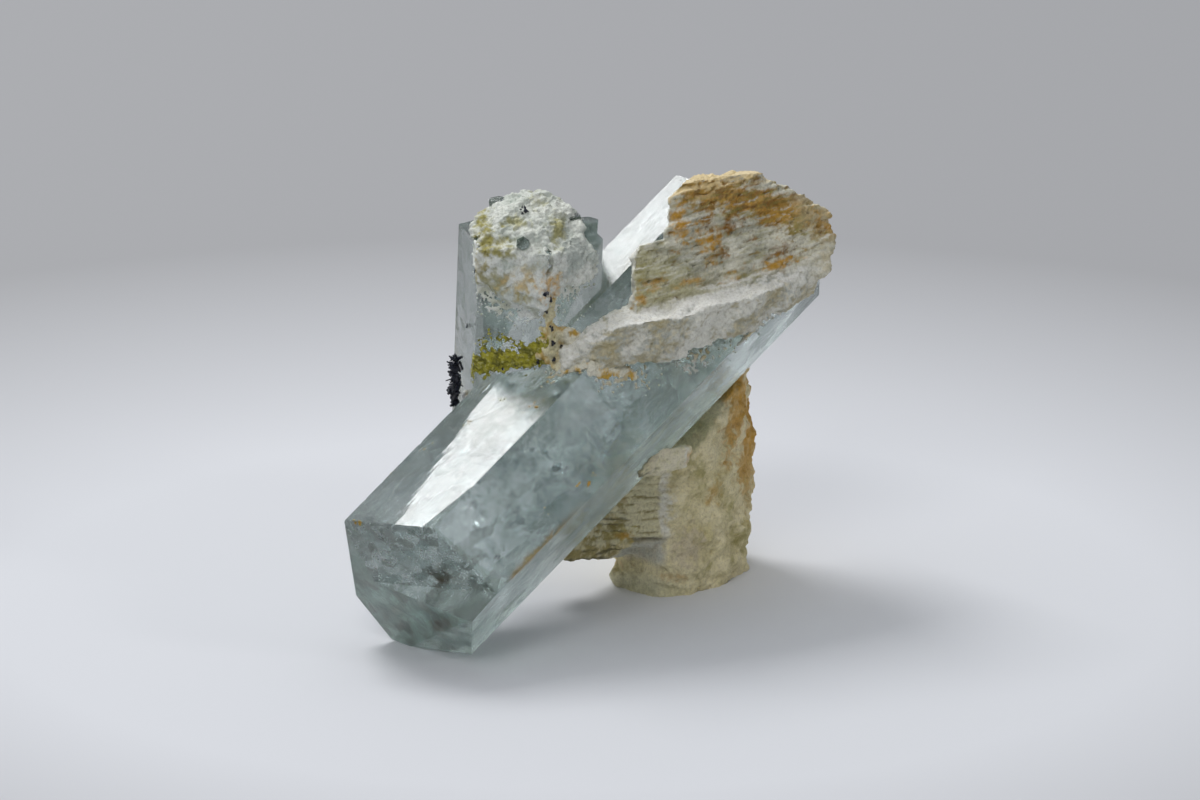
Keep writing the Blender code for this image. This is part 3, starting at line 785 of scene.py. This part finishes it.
def stone_group():
    """Fine grain for rough stone: it breaks up a tint, dulls it and raises small crumbs."""
    tree, given, made = node_group(
        "stone_grain", "ShaderNodeTree", {"Tint": "Color", "Size": "Float"},
        {"Colour": "Color", "Height": "Float", "Roughness": "Float"},
    )
    space = tree.nodes.new("ShaderNodeTexCoord").outputs["Object"]
    crumbs = place_node(
        tree, "ShaderNodeTexNoise", Detail=8.0, Roughness=0.72, Vector=space, Scale=given["Size"],
    ).outputs["Fac"]
    cells = place_node(tree, "ShaderNodeTexVoronoi", Vector=space, Scale=given["Size"]).outputs["Distance"]
    shade = ramp(tree, crumbs, (0.30, (0.70, 0.67, 0.62)), (0.50, (0.98,) * 3), (0.68, (1.14, 1.14, 1.12)))
    feed(made["Colour"], mix_colour(tree, 1.0, shade, given["Tint"], "MULTIPLY"))
    feed(made["Height"], work_out(tree, "SUBTRACT", crumbs, cells))
    feed(made["Roughness"], ramp(tree, crumbs, (0.3, (0.95,) * 3), (0.7, (0.62,) * 3)))
    return tree


stone_grain = stone_group()


def stone_material(name, size, depth):
    """Rough stone: the tint of each place, broken up by fine grain."""
    finish, tree, shader = new_material(name, 0.85)
    feed(shader.inputs["Specular IOR Level"], 0.35)
    tint = place_node(tree, "ShaderNodeAttribute", attribute_name="tint").outputs["Color"]
    grain = place_node(tree, "ShaderNodeGroup", node_tree=stone_grain, Size=size, Tint=tint).outputs
    feed(shader.inputs["Base Color"], grain["Colour"])
    feed(shader.inputs["Roughness"], grain["Roughness"])
    feed(shader.inputs["Normal"], raised(tree, grain["Height"], 0.8, depth))
    return finish


def add_stone(name, mesh, tint, finish, slot, *nodes):
    """Colours a stone, gives it its finish and adds it as a piece."""
    colour_in(mesh, tint)
    mesh.materials.clear()
    mesh.materials.append(stone_material(*finish))
    add_piece(name, mesh, slot, *nodes)


cap_blocks = [(WALL_UPPER, WALL_PLACE), (WALL_LOWER, WALL_PLACE), (END_PLATE, LONG_PLACE)]
cap_blocks += [((*near, *far), GROUND_PLACE) for near, far in zip(LEDGE, LEDGE[1:])]
cap_mesh = rough_stone(cap_blocks, 0.10, (0.38, (3.2, 2.2, 1.1), WALL_PLACE), cap_relief)
cap_finish = ("stained_feldspar_fine", 5200.0, 0.05)
add_stone("cap", cap_mesh, cap_tint, cap_finish, "stained_feldspar", "feldspar_cap")

# Feldspar foot: the block of rough feldspar that the long crystal lies on. Its left face shows thin cleavage
# layers over a hollow in painted grey shade, its front is pitted and tan, and its right edge is rusty.
FOOT_BODY = (
    (19.9, 1.4, -0.6), (20.0, -1.9, -0.6), (22.2, -3.2, -0.6), (25.7, -3.1, -0.6),
    (28.2, -2.1, -0.6), (29.3, 0.6, -0.6), (29.8, 3.6, -0.6), (25.5, 4.4, -0.6), (22.4, 3.6, -0.6),
    (20.4, -2.1, 3.2), (21.2, -2.8, 8.6), (23.6, -3.4, 10.5), (28.8, -1.6, 13.9), (31.3, 0.4, 6.0),
    (31.6, 1.0, 10.6), (30.2, 3.8, 12.6), (21.0, 3.8, 9.4),
)
FOOT_LAMINATED = (
    (20.9, -2.5, 3.5), (20.9, -2.5, 9.2), (16.4, 0.0, 3.4), (16.4, 0.0, 8.4), (16.8, 3.4, 3.4),
    (16.8, 3.4, 8.4), (22.0, 3.4, 3.0), (22.0, 3.4, 9.6),
)
FOOT_SHELF = (
    (14.2, 0.4, 3.4), (14.2, 0.6, 6.6), (20.4, -0.6, 2.3), (20.4, -1.0, 5.0), (14.4, 3.0, 3.2),
    (14.4, 3.0, 6.6), (20.6, 3.2, 2.2), (20.6, 3.2, 6.0),
)
FOOT_LUMP = (
    (16.6, -4.0, 9.6), (17.8, -4.3, 10.9), (18.8, -4.3, 11.1), (20.5, -4.6, 10.6), (21.5, -3.9, 10.2),
    (20.6, -4.1, 9.1), (19.2, -3.8, 8.8), (17.1, -3.6, 9.0), (21.8, -2.4, 8.9), (19.0, -2.2, 8.4),
)
FOOT_BACK = (
    (26.5, -1.0, 8.0), (30.4, 0.4, 11.5), (31.0, 1.4, 14.2), (29.6, 4.6, 15.6), (25.0, 5.4, 13.2),
    (22.5, 4.6, 7.0), (28.5, 4.2, 6.0),
)


LAYER = 0.46


def in_layer(spot, place):
    """How far up its cleavage layer a point of the foot lies, from 0 to 1."""
    level = place.z + 0.10 * place.x + 0.12 * streaks(spot, (3.0, 3.0, 1.2), 3)
    return level / LAYER % 1.0


def foot_relief(spot, normal):
    place = spot - GROUND
    lumps = streaks(spot, (1.1, 1.1, 0.9), 5, 0.7)
    fine = streaks(spot + Vector((2.0, 5.0, 0.0)), (0.45, 0.45, 0.4), 4)
    pits = pitted(spot, (0.42, 0.42, 0.36), 0.2)
    layer = in_layer(spot, place)
    step = smooth_step(layer, 0.0, 0.18) * (1.0 - smooth_step(layer, 0.62, 1.0))
    left = 1.0 - smooth_step(place.x, 20.6, 21.4)
    layered = left * smooth_step(place.z, 3.2, 4.0) * smooth_step(-normal.x, 0.2, 0.6)
    height = 0.12 * lumps + 0.05 * fine + 0.22 * pits
    return layered * (0.16 * (step - 0.5) + 0.05 * fine) + (1.0 - layered) * height


FOOT_STAINS = (
    ((17.9, 4.6), (1.3, 0.9), (0.58, 0.50, 0.16), 0.9), ((18.2, 4.4), (0.7, 0.4), OCHRE, 0.9),
    ((21.6, 2.9), (1.8, 1.9), (0.76, 0.66, 0.50), 0.7), ((21.2, 1.2), (0.9, 0.6), OCHRE, 0.5),
    ((24.6, 9.2), (1.8, 1.2), (0.84, 0.76, 0.50), 0.8), ((24.2, 6.4), (0.8, 1.0), OCHRE, 0.5),
    ((25.8, 8.2), (0.8, 0.6), OCHRE, 0.7), ((26.2, 4.6), (1.5, 1.6), OLIVE, 0.45),
    ((22.8, 8.4), (1.0, 1.2), OLIVE, 0.5), ((26.2, 10.2), (1.0, 0.6), BROWN, 0.6),
    ((17.4, 6.9), (0.9, 0.6), BROWN, 0.6), ((16.6, 7.2), (0.8, 0.6), OCHRE, 0.7),
    ((21.0, 9.7), (0.6, 0.7), OCHRE, 0.9), ((28.0, 2.6), (1.2, 1.4), OLIVE, 0.5),
    ((23.4, 1.4), (1.4, 0.6), OLIVE, 0.5),
)


def foot_tint(spot, normal):
    place = spot - GROUND
    broad = streaks(spot, 2.6, 4)
    spots = spotted(spot, 0.45)
    colour = blend((0.96, 0.86, 0.56), (0.66, 0.58, 0.30), 0.40 + 1.0 * broad + 0.4 * spots)
    left = 1.0 - smooth_step(place.x, 20.4, 20.9)
    layered = left * smooth_step(place.z, 3.8, 4.1)
    layer = abs(in_layer(spot, place) - 0.5) * 2.0
    colour = blend(colour, (0.84, 0.78, 0.52), layered)
    colour = blend(colour, (0.30, 0.23, 0.06), 0.75 * layered * smooth_step(layer + 0.6 * spots, 0.65, 1.05))
    # Painted shade: the hollow under the laminated block is painted grey.
    shaded_hollow = left * smooth_step(place.x, 18.4, 18.9) * (1.0 - smooth_step(place.z, 3.7, 4.0))
    shaded_hollow = shaded_hollow * smooth_step(place.z, 1.8, 2.6)
    colour = blend(colour, (0.56, 0.58, 0.56), 0.7 * shaded_hollow)
    shadow = math.exp(-((place.z - 4.0) / 0.16) ** 2) * left * smooth_step(place.x, 18.2, 18.8)
    colour = blend(colour, (0.16, 0.15, 0.12), 0.8 * shadow)
    ridge = smooth_step(place.x, 20.2, 20.4) * (1.0 - smooth_step(place.x + 0.5 * spots, 20.5, 21.1))
    ridge = ridge * smooth_step(place.z, 3.6, 4.6) * smooth_step(-normal.y, 0.0, 0.5)
    colour = blend(colour, (0.98, 0.95, 0.84), 0.9 * ridge)
    colour = stained(colour, place.x, place.z, 0.9 * spots + 0.6 * broad, FOOT_STAINS)
    edge = place.x + 0.35 * (place.z - 7.0) + 1.6 * spots + 1.6 * broad
    rust = smooth_step(edge, 26.4, 28.8) * smooth_step(place.z + 2.0 * spots, 3.0, 7.4)
    rusty = blend(OCHRE, (0.74, 0.50, 0.20), 0.3 + 1.2 * spots)
    colour = blend(colour, rusty, 0.95 * rust * smooth_step(broad, -0.9, -0.1))
    base = 1.0 - smooth_step(place.z, 0.4, 2.2)
    colour = blend(colour, (0.60, 0.60, 0.42), 0.6 * base * (1.0 - smooth_step(place.x, 20.0, 23.0)))
    shelf = 1.0 - smooth_step(place.x, 17.6, 18.6)
    colour = blend(colour, (0.44, 0.35, 0.13), 0.75 * shelf * smooth_step(spots + 0.5 * broad, -0.3, 0.3))
    # Painted shade: downward-facing parts of the shelf are painted almost black.
    shelf_underside_shade = shelf * smooth_step(-normal.z, 0.1, 0.6)
    colour = blend(colour, (0.10, 0.09, 0.04), 0.8 * shelf_underside_shade)
    lump = math.exp(-((place - Vector((19.0, -3.9, 9.9))).length / 1.9) ** 4)
    return blend(colour, (0.98, 0.91, 0.70), 0.85 * lump * smooth_step(spots, -0.5, -0.1))


FOOT_BLOCKS = (FOOT_BODY, FOOT_LAMINATED, FOOT_SHELF, FOOT_LUMP, FOOT_BACK)
foot_blocks = [(block, GROUND_PLACE) for block in FOOT_BLOCKS]
foot_mesh = rough_stone(foot_blocks, 0.11, (0.40, (2.4, 2.4, 1.3), GROUND_PLACE), foot_relief)
foot_finish = ("rough_feldspar_fine", 5600.0, 0.05)
add_stone("foot", foot_mesh, foot_tint, foot_finish, "rough_feldspar", "feldspar_foot")

# White crust: sugary fine-grained feldspar on the head of the upright crystal, with olive and tan
# stains in its hollows.
CRUST_CAP = (
    (-4.1, 0.6, 15.3), (-3.3, -4.0, 15.2), (1.1, -5.3, 15.2), (3.7, -2.2, 15.2), (2.8, 2.6, 15.3),
    (-1.2, 3.6, 15.3), (-3.2, 0.6, 16.3), (-1.6, 1.2, 17.4), (0.4, 0.8, 17.9), (2.6, -0.2, 17.1),
    (0.8, -2.4, 16.9), (-1.8, -2.4, 16.7),
)
CRUST_FRONT = (
    (-3.5, -3.8, 13.0), (-3.4, -4.3, 13.4), (-3.5, -4.2, 15.2), (0.9, -5.5, 11.8), (1.2, -5.5, 15.3),
    (0.6, -3.2, 16.3), (-3.0, -2.4, 16.3), (-2.6, -2.6, 12.6), (0.8, -4.0, 11.6), (-1.2, -5.0, 11.9),
)
CRUST_RIGHT = (
    (1.0, -5.4, 12.2), (1.6, -5.3, 15.2), (4.5, -2.4, 14.6), (4.4, -2.3, 13.2), (3.2, -1.6, 16.0),
    (1.0, -3.2, 16.2), (3.4, -1.6, 13.0), (0.9, -4.0, 11.9),
)
UPRIGHT_PLACE = own_place(UPRIGHT_FOOT, UPRIGHT_RIGHT, UPRIGHT_AWAY, UPRIGHT_AXIS)


def crust_relief(spot, normal):
    lumps = streaks(spot, 0.75, 4, 0.7)
    fine = streaks(spot + Vector((2.0, 5.0, 0.0)), 0.32, 4)
    pits = pitted(spot, 0.6, 0.15)
    return 0.14 * lumps + 0.07 * fine + 0.28 * pits


CRUST_STAINS = (
    ((-3.0, 15.2), (0.9, 1.9), OLIVE, 1.0), ((-3.4, 13.9), (1.1, 1.2), (0.40, 0.32, 0.10), 1.0),
    ((-2.0, 15.1), (1.5, 0.7), OLIVE, 0.9), ((-2.4, 13.2), (1.6, 1.2), (0.42, 0.40, 0.22), 0.95),
    ((1.7, 16.3), (0.6, 0.9), OLIVE, 0.8), ((0.4, 17.4), (0.6, 0.4), OLIVE, 0.6),
    ((-0.9, 16.5), (1.0, 0.3), OLIVE, 0.7), ((-0.4, 13.4), (1.4, 1.2), (0.70, 0.55, 0.28), 0.95),
    ((1.2, 13.0), (0.9, 1.2), (0.72, 0.46, 0.16), 1.0), ((-0.2, 12.5), (0.7, 0.5), OLIVE, 0.6),
    ((-1.5, 14.2), (0.8, 0.5), (0.52, 0.60, 0.56), 0.7), ((2.9, 15.0), (0.9, 0.9), (0.60, 0.64, 0.60), 0.6),
    ((0.2, 14.4), (0.6, 0.4), (0.50, 0.50, 0.38), 0.7),
)


def crust_tint(spot, normal):
    place = spot - UPRIGHT_FOOT
    across, up = place.dot(UPRIGHT_RIGHT), place.dot(UPRIGHT_AXIS)
    broad = streaks(spot, 1.8, 4)
    spots = spotted(spot, 0.5)
    colour = blend((0.88, 0.90, 0.84), (0.50, 0.56, 0.51), 0.30 + 0.9 * broad + 0.4 * spots)
    # Painted shade: up-facing parts of the crust are painted greyer and darker.
    colour = blend(colour, (0.66, 0.68, 0.60), 0.45 * smooth_step(normal.z, 0.3, 0.9))
    return stained(colour, across, up, 0.9 * spots + 0.6 * broad, CRUST_STAINS)


crust_blocks = [(block, UPRIGHT_PLACE) for block in (CRUST_CAP, CRUST_FRONT, CRUST_RIGHT)]
crust_mesh = rough_stone(crust_blocks, 0.075, (0.35, (1.3, 1.3, 1.3), UPRIGHT_PLACE), crust_relief)
crust_finish = ("white_crust_fine", 6500.0, 0.04)
add_stone("crust", crust_mesh, crust_tint, crust_finish, "white_crust", "crystal_crust")

# Thin crusts of fine grains on the crystals: sugary white ones where the crust thins out, a mossy
# olive band where the upright crystal leaves the long one, a tan seam up its front edge with pale
# nodules at the ledge's left end, feldspar flecks under the ledge, and specks of iron rust.
def grain_crust(piece, slot, frame_place, spots, facet, relief, tint, finish, seed):
    """Grains set on the nearest crystal face round each spot, run together as one crust."""
    chance = random.Random(seed)
    bm = bmesh.new()
    for middle, reach, number, smallest, largest in spots:
        for _ in range(number):
            spot = Vector(value + chance.gauss(0.0, 0.5) * part for value, part in zip(middle, reach))
            near, outward, _, _ = crystal_tree.find_nearest(frame_place @ spot * MM)
            size = chance.uniform(smallest, largest)
            made = bmesh.ops.create_icosphere(bm, subdivisions=1, radius=size * MM)
            turn = outward.to_track_quat("Z", "Y").to_matrix().to_4x4()
            flat = Matrix.Diagonal((1.0, 1.0, chance.uniform(0.45, 0.9), 1.0))
            bmesh.ops.transform(bm, matrix=Matrix.Translation(near) @ turn @ flat, verts=made["verts"])
    mesh = even_skin(finished_mesh(piece, bm), facet, 2)
    depth, spacing, octaves = relief
    normals = [vert.normal.copy() for vert in mesh.vertices]
    for vert, normal in zip(mesh.vertices, normals):
        vert.co += normal * (depth * streaks(vert.co / MM, spacing, octaves)) * MM
    add_stone(piece, mesh, tint, finish, slot)


def moss_tint(spot, normal):
    patch = streaks(spot, 0.5, 4)
    colour = blend((0.50, 0.46, 0.05), (0.20, 0.19, 0.03), 0.4 + 1.4 * patch)
    return blend(colour, (0.60, 0.57, 0.20), smooth_step(streaks(spot, 0.22, 4), 0.1, 0.7))


def sugar_tint(spot, normal):
    return blend((0.95, 0.97, 0.92), (0.66, 0.68, 0.56), 0.30 + 1.2 * streaks(spot, 0.9, 3))


grain_crust("sugar_crust", "white_crust", UPRIGHT_PLACE, (
    ((-3.0, -4.0, 12.5), (0.9, 0.5, 0.9), 200, 0.04, 0.13),
    ((-1.6, -4.5, 11.7), (1.0, 0.5, 0.8), 200, 0.04, 0.13),
    ((-0.2, -4.9, 11.3), (1.0, 0.5, 0.7), 200, 0.04, 0.13),
    ((1.5, -4.9, 11.7), (0.9, 0.5, 0.8), 200, 0.04, 0.13),
    ((3.0, -3.4, 12.6), (1.0, 0.8, 0.8), 220, 0.04, 0.13),
    ((4.3, -2.4, 13.6), (0.6, 0.6, 1.1), 200, 0.04, 0.13),
    ((-3.9, -3.0, 14.4), (0.3, 0.8, 1.4), 200, 0.04, 0.13),
    ((-1.0, -4.6, 10.7), (1.6, 0.5, 0.9), 90, 0.03, 0.09),
    ((2.6, -4.0, 11.4), (1.2, 0.8, 1.0), 90, 0.03, 0.09),
    ((-2.6, -4.1, 11.3), (0.8, 0.5, 0.9), 70, 0.03, 0.09),
), 0.05, (0.04, 0.25, 3), sugar_tint, ("sugar_white", 9000.0, 0.03), 39)

grain_crust("moss_crust", "white_crust", UPRIGHT_PLACE, (
    ((-2.9, -3.6, 7.3), (0.7, 0.5, 0.6), 260, 0.04, 0.14),
    ((-2.1, -3.7, 7.6), (0.9, 0.5, 0.6), 420, 0.04, 0.15),
    ((-1.2, -3.9, 7.8), (0.9, 0.5, 0.55), 400, 0.04, 0.15),
    ((-0.3, -4.2, 7.8), (0.9, 0.5, 0.4), 320, 0.04, 0.14),
    ((0.5, -4.4, 8.4), (0.8, 0.4, 0.6), 320, 0.04, 0.16),
    ((1.2, -4.5, 9.0), (0.7, 0.4, 0.5), 260, 0.04, 0.16),
    ((-1.6, -3.8, 9.2), (0.8, 0.4, 0.5), 90, 0.03, 0.08),
    ((-2.7, -3.6, 8.6), (0.6, 0.4, 0.7), 90, 0.03, 0.08),
    ((-0.6, -4.0, 8.8), (0.9, 0.4, 0.4), 80, 0.03, 0.08),
    ((-3.6, -3.1, 6.6), (0.4, 0.4, 0.7), 60, 0.03, 0.09),
), 0.05, (0.10, 0.22, 4), moss_tint, ("moss_green", 9000.0, 0.03), 41)


def seam_tint(spot, normal):
    place = spot - UPRIGHT_FOOT
    patch = streaks(spot, 0.9, 4)
    colour = blend((0.84, 0.78, 0.52), (0.62, 0.40, 0.08), 0.35 + 1.4 * patch)
    pale = smooth_step(place.dot(UPRIGHT_RIGHT), 1.6, 2.6)
    colour = blend(colour, (0.84, 0.82, 0.70), 0.9 * pale * smooth_step(-patch, -0.7, -0.1))
    grey = 1.0 - smooth_step(place.dot(UPRIGHT_RIGHT), -4.0, -3.4)
    return blend(colour, (0.56, 0.57, 0.56), grey)


grain_crust("seam_crust", "white_crust", UPRIGHT_PLACE, (
    ((1.4, -4.6, 12.3), (0.5, 0.3, 0.9), 60, 0.10, 0.28),
    ((1.4, -4.5, 11.0), (0.45, 0.3, 0.8), 60, 0.10, 0.26),
    ((1.5, -4.5, 9.9), (0.6, 0.3, 0.7), 70, 0.10, 0.28),
    ((1.8, -4.2, 8.9), (0.7, 0.4, 0.6), 90, 0.12, 0.36),
    ((2.4, -3.9, 9.4), (0.8, 0.4, 0.5), 90, 0.12, 0.40),
    ((2.3, -4.4, 8.2), (0.9, 0.5, 0.5), 110, 0.14, 0.42),
    ((3.2, -4.6, 8.8), (0.8, 0.5, 0.5), 90, 0.14, 0.42),
    ((3.4, -5.0, 7.8), (0.9, 0.5, 0.5), 110, 0.12, 0.36),
    ((4.6, -5.3, 7.6), (1.1, 0.4, 0.3), 90, 0.10, 0.28),
    ((-4.5, -2.0, 4.3), (0.2, 0.3, 0.3), 12, 0.22, 0.42),
    ((6.2, -4.8, 7.6), (1.2, 0.4, 0.3), 60, 0.08, 0.22),
), 0.07, (0.09, 0.4, 4), seam_tint, ("tan_seam", 7000.0, 0.04), 43)


def fleck_tint(spot, normal):
    return blend((0.66, 0.67, 0.62), (0.62, 0.54, 0.34), 0.25 + 1.2 * streaks(spot, 1.2, 3))


flecks = []
for aside, reach, number, smallest, largest, lips in (
    ((0.0, 0.3, -0.5), (1.6, 0.6, 0.8), 60, 0.05, 0.15, LEDGE),
    ((2.0, 0.3, -0.7), (1.6, 0.6, 1.2), 40, 0.04, 0.11, LEDGE[:4]),
):
    flecks += [(Vector(lip) + Vector(aside), reach, number, smallest, largest) for lip, _, _ in lips]
FLECK_RELIEF = (0.05, 0.3, 3)
grain_crust(
    "fleck_crust", "stained_feldspar", GROUND_PLACE, flecks, 0.05, FLECK_RELIEF, fleck_tint,
    ("feldspar_flecks", 7000.0, 0.03), 47,
)


def iron_tint(spot, normal):
    return blend(OCHRE, OLIVE, 0.5 + 1.5 * streaks(spot, 1.5, 3))


grain_crust("iron_spots", "aquamarine", LONG_PLACE, (
    ((1.8, 5.3, -0.5), (0.3, 0.2, 0.3), 14, 0.04, 0.10),
    ((-5.5, 0.5, 11.1), (0.1, 0.15, 0.3), 10, 0.03, 0.07),
    ((-5.7, 0.1, 11.8), (0.1, 0.15, 0.3), 12, 0.03, 0.08),
    ((-5.6, 0.3, 12.5), (0.1, 0.15, 0.3), 10, 0.03, 0.07),
    ((0.2, 5.3, 12.2), (0.4, 0.1, 0.5), 10, 0.03, 0.08),
    ((-2.4, 5.1, 12.8), (0.5, 0.1, 0.5), 12, 0.03, 0.09),
    ((-2.0, 5.1, 11.0), (0.2, 0.1, 1.2), 12, 0.02, 0.06), ((0.9, 5.3, 9.5), (0.3, 0.1, 0.6), 8, 0.03, 0.07),
    ((1.8, 5.4, 6.6), (0.4, 0.1, 0.8), 9, 0.03, 0.07), ((2.6, 5.4, 4.2), (0.1, 0.1, 0.8), 8, 0.03, 0.08),
    ((-4.4, 2.2, 5.2), (0.1, 0.3, 0.3), 5, 0.02, 0.05), ((-5.4, 0.6, 8.0), (0.1, 0.4, 0.6), 8, 0.02, 0.06),
), 0.04, FLECK_RELIEF, iron_tint, ("iron_stain", 9000.0, 0.02), 53)

# Schorl: a tuft of short black tourmaline needles on the left edge of the upright crystal, and
# stray black grains caught in the white crust.
schorl, tree, shader = new_material("black_schorl", 0.28)
here = tree.nodes.new("ShaderNodeTexCoord").outputs["Object"]
specks = place_node(tree, "ShaderNodeTexNoise", Scale=9000.0, Detail=4.0, Vector=here).outputs["Fac"]
black = ramp(tree, specks, (0.35, (0.006, 0.007, 0.012)), (0.7, (0.035, 0.04, 0.06)))
feed(shader.inputs["Base Color"], black)
NEEDLES = 150
chance = random.Random(21)
tuft_bm = bmesh.new()


def needle(bm, root, way, length, side):
    """A six-sided needle with a blunt tip, from its root along its way, in millimetres."""
    tip = side * 0.55
    made = bmesh.ops.create_cone(bm, cap_ends=True, segments=6, radius1=side, radius2=tip, depth=length)
    turn = way.to_track_quat("Z", "Y").to_matrix().to_4x4()
    place = Matrix.Translation((root + way * length / 2.0) * MM) @ turn @ Matrix.Scale(MM, 4)
    bmesh.ops.transform(bm, matrix=place, verts=made["verts"])


for _ in range(NEEDLES):
    to_right = -4.40 + chance.uniform(-0.25, 0.1)
    away = -2.5 + chance.uniform(-0.4, 0.2)
    root = in_upright(to_right, away, 5.9 + chance.uniform(-1.5, 1.5))
    heading = math.radians(235.0 + chance.uniform(-85.0, 85.0))
    lean = math.radians(chance.uniform(15.0, 85.0))
    flat = UPRIGHT_RIGHT * math.cos(heading) + UPRIGHT_AWAY * math.sin(heading)
    way = UPRIGHT_AXIS * math.cos(lean) * chance.choice((1.0, -1.0)) + flat * math.sin(lean)
    needle(tuft_bm, root, way, chance.uniform(0.25, 0.62), chance.uniform(0.06, 0.17))
for middle, reach, number in (
    ((-0.5, -1.8, 17.0), 0.34, 16), ((1.0, -5.4, 12.8), 0.22, 14), ((1.2, -5.2, 12.2), 0.12, 5),
    ((1.1, -4.8, 11.3), 0.10, 3), ((1.5, -4.8, 10.2), 0.12, 4), ((1.6, -4.7, 9.2), 0.12, 4),
    ((1.6, -4.5, 8.1), 0.14, 5), ((0.7, -4.6, 7.9), 0.10, 3), ((-1.5, -3.9, 7.2), 0.08, 2),
    ((2.2, -4.3, 8.9), 0.10, 2), ((-3.4, -3.2, 13.4), 0.06, 1), ((-3.9, -1.4, 9.2), 0.08, 2),
):
    for _ in range(number):
        spot = in_upright(*[value + chance.gauss(0.0, 0.6) * reach for value in middle])
        shard(tuft_bm, spot * MM, Vector((1.0, 1.0, 1.3)) * chance.uniform(0.07, 0.17) * MM, chance)
bmesh.ops.recalc_face_normals(tuft_bm, faces=tuft_bm.faces)
tuft_mesh = finished_mesh("schorl_needles", tuft_bm)
tuft_mesh.materials.append(schorl)
add_piece("schorl_needles", tuft_mesh, "schorl", "schorl_tuft")

# Floor and light: a floor painted pale round the specimen and grey further out, a painted pool of light; soft
# daylight from above and behind, a dim room round it, and a long lens.
FLOOR_REACH = 3.0
floor_mesh = bpy.data.meshes.new("floor")
floor_corners = [(x * FLOOR_REACH, y * FLOOR_REACH, 0.0) for x, y in ((-1, -1), (1, -1), (1, 1), (-1, 1))]
floor_mesh.from_pydata(floor_corners, [], [(0, 1, 2, 3)])
floor = in_scene("floor", floor_mesh)
paper, tree, shader = new_material("pale_floor", 0.9)
here = tree.nodes.new("ShaderNodeTexCoord").outputs["Object"]
distance = place_node(tree, "ShaderNodeVectorMath", operation="LENGTH")
feed(distance.inputs[0], here)
scaled = times(tree, distance.outputs["Value"], 5.0)
# Painted pool of light: the floor is pale near the specimen and painted grey further out.
feed(shader.inputs["Base Color"], ramp(tree, scaled, (0.19, (0.74, 0.75, 0.78)), (0.42, (0.40, 0.40, 0.41))))
floor_mesh.materials.append(paper)


def softbox(name, way, distance, size, power):
    """A square soft light that faces the specimen."""
    light = bpy.data.lights.new(name, "AREA")
    light.shape = "SQUARE"
    light.size = size
    light.energy = power
    lamp = in_scene(name, light)
    lamp.location = Vector(way).normalized() * distance + Vector((0.0, 0.0, 0.012))
    lamp.rotation_mode = "QUATERNION"
    lamp.rotation_quaternion = Vector(way).to_track_quat("Z", "Y")


TO_WINDOW = (0.07, 0.57, 0.82)
softbox("window", TO_WINDOW, 0.50, 0.20, 1.15)
softbox("fill", (-0.60, -0.35, 0.72), 0.60, 0.24, 0.75)
softbox("card", (0.30, -0.80, 0.52), 0.50, 0.08, 0.16)
world = bpy.data.worlds.new("room")
world.use_nodes = True
sky = world.node_tree
toward = sky.nodes.new("ShaderNodeTexCoord").outputs["Generated"]
daylight = vector_work(sky, "DOT_PRODUCT", toward, TO_WINDOW)
glow = ramp(sky, daylight, (0.0, (0.05, 0.055, 0.06)), (0.45, (0.24, 0.25, 0.27)), (1.0, (0.76, 0.79, 0.83)))
feed(sky.nodes["Background"].inputs["Color"], glow)
bpy.context.scene.world = world
bpy.context.scene.view_settings.view_transform = "Standard"

VIEW_SCALE = 0.0637 * MM
VIEW_DISTANCE = 1.2
SENSOR = 36.0
elevation = math.radians(17.0)
right = Vector((math.sqrt(0.5), -math.sqrt(0.5), 0.0))
level = math.cos(elevation) * math.sqrt(0.5)
forward = Vector((level, level, -math.sin(elevation)))
upward = right.cross(forward)
aim = GROUND * MM + right * (600.0 - 410.7) * VIEW_SCALE + upward * (658.4 - 400.0) * VIEW_SCALE
lens = bpy.data.cameras.new("camera")
lens.sensor_width = SENSOR
lens.lens = SENSOR * VIEW_DISTANCE / (1200.0 * VIEW_SCALE)
lens.clip_start = 0.05
lens.clip_end = 20.0
camera = in_scene("camera", lens)
camera.location = aim - forward * VIEW_DISTANCE
camera.rotation_mode = "QUATERNION"
camera.rotation_quaternion = forward.to_track_quat("-Z", "Y")
bpy.context.scene.camera = camera
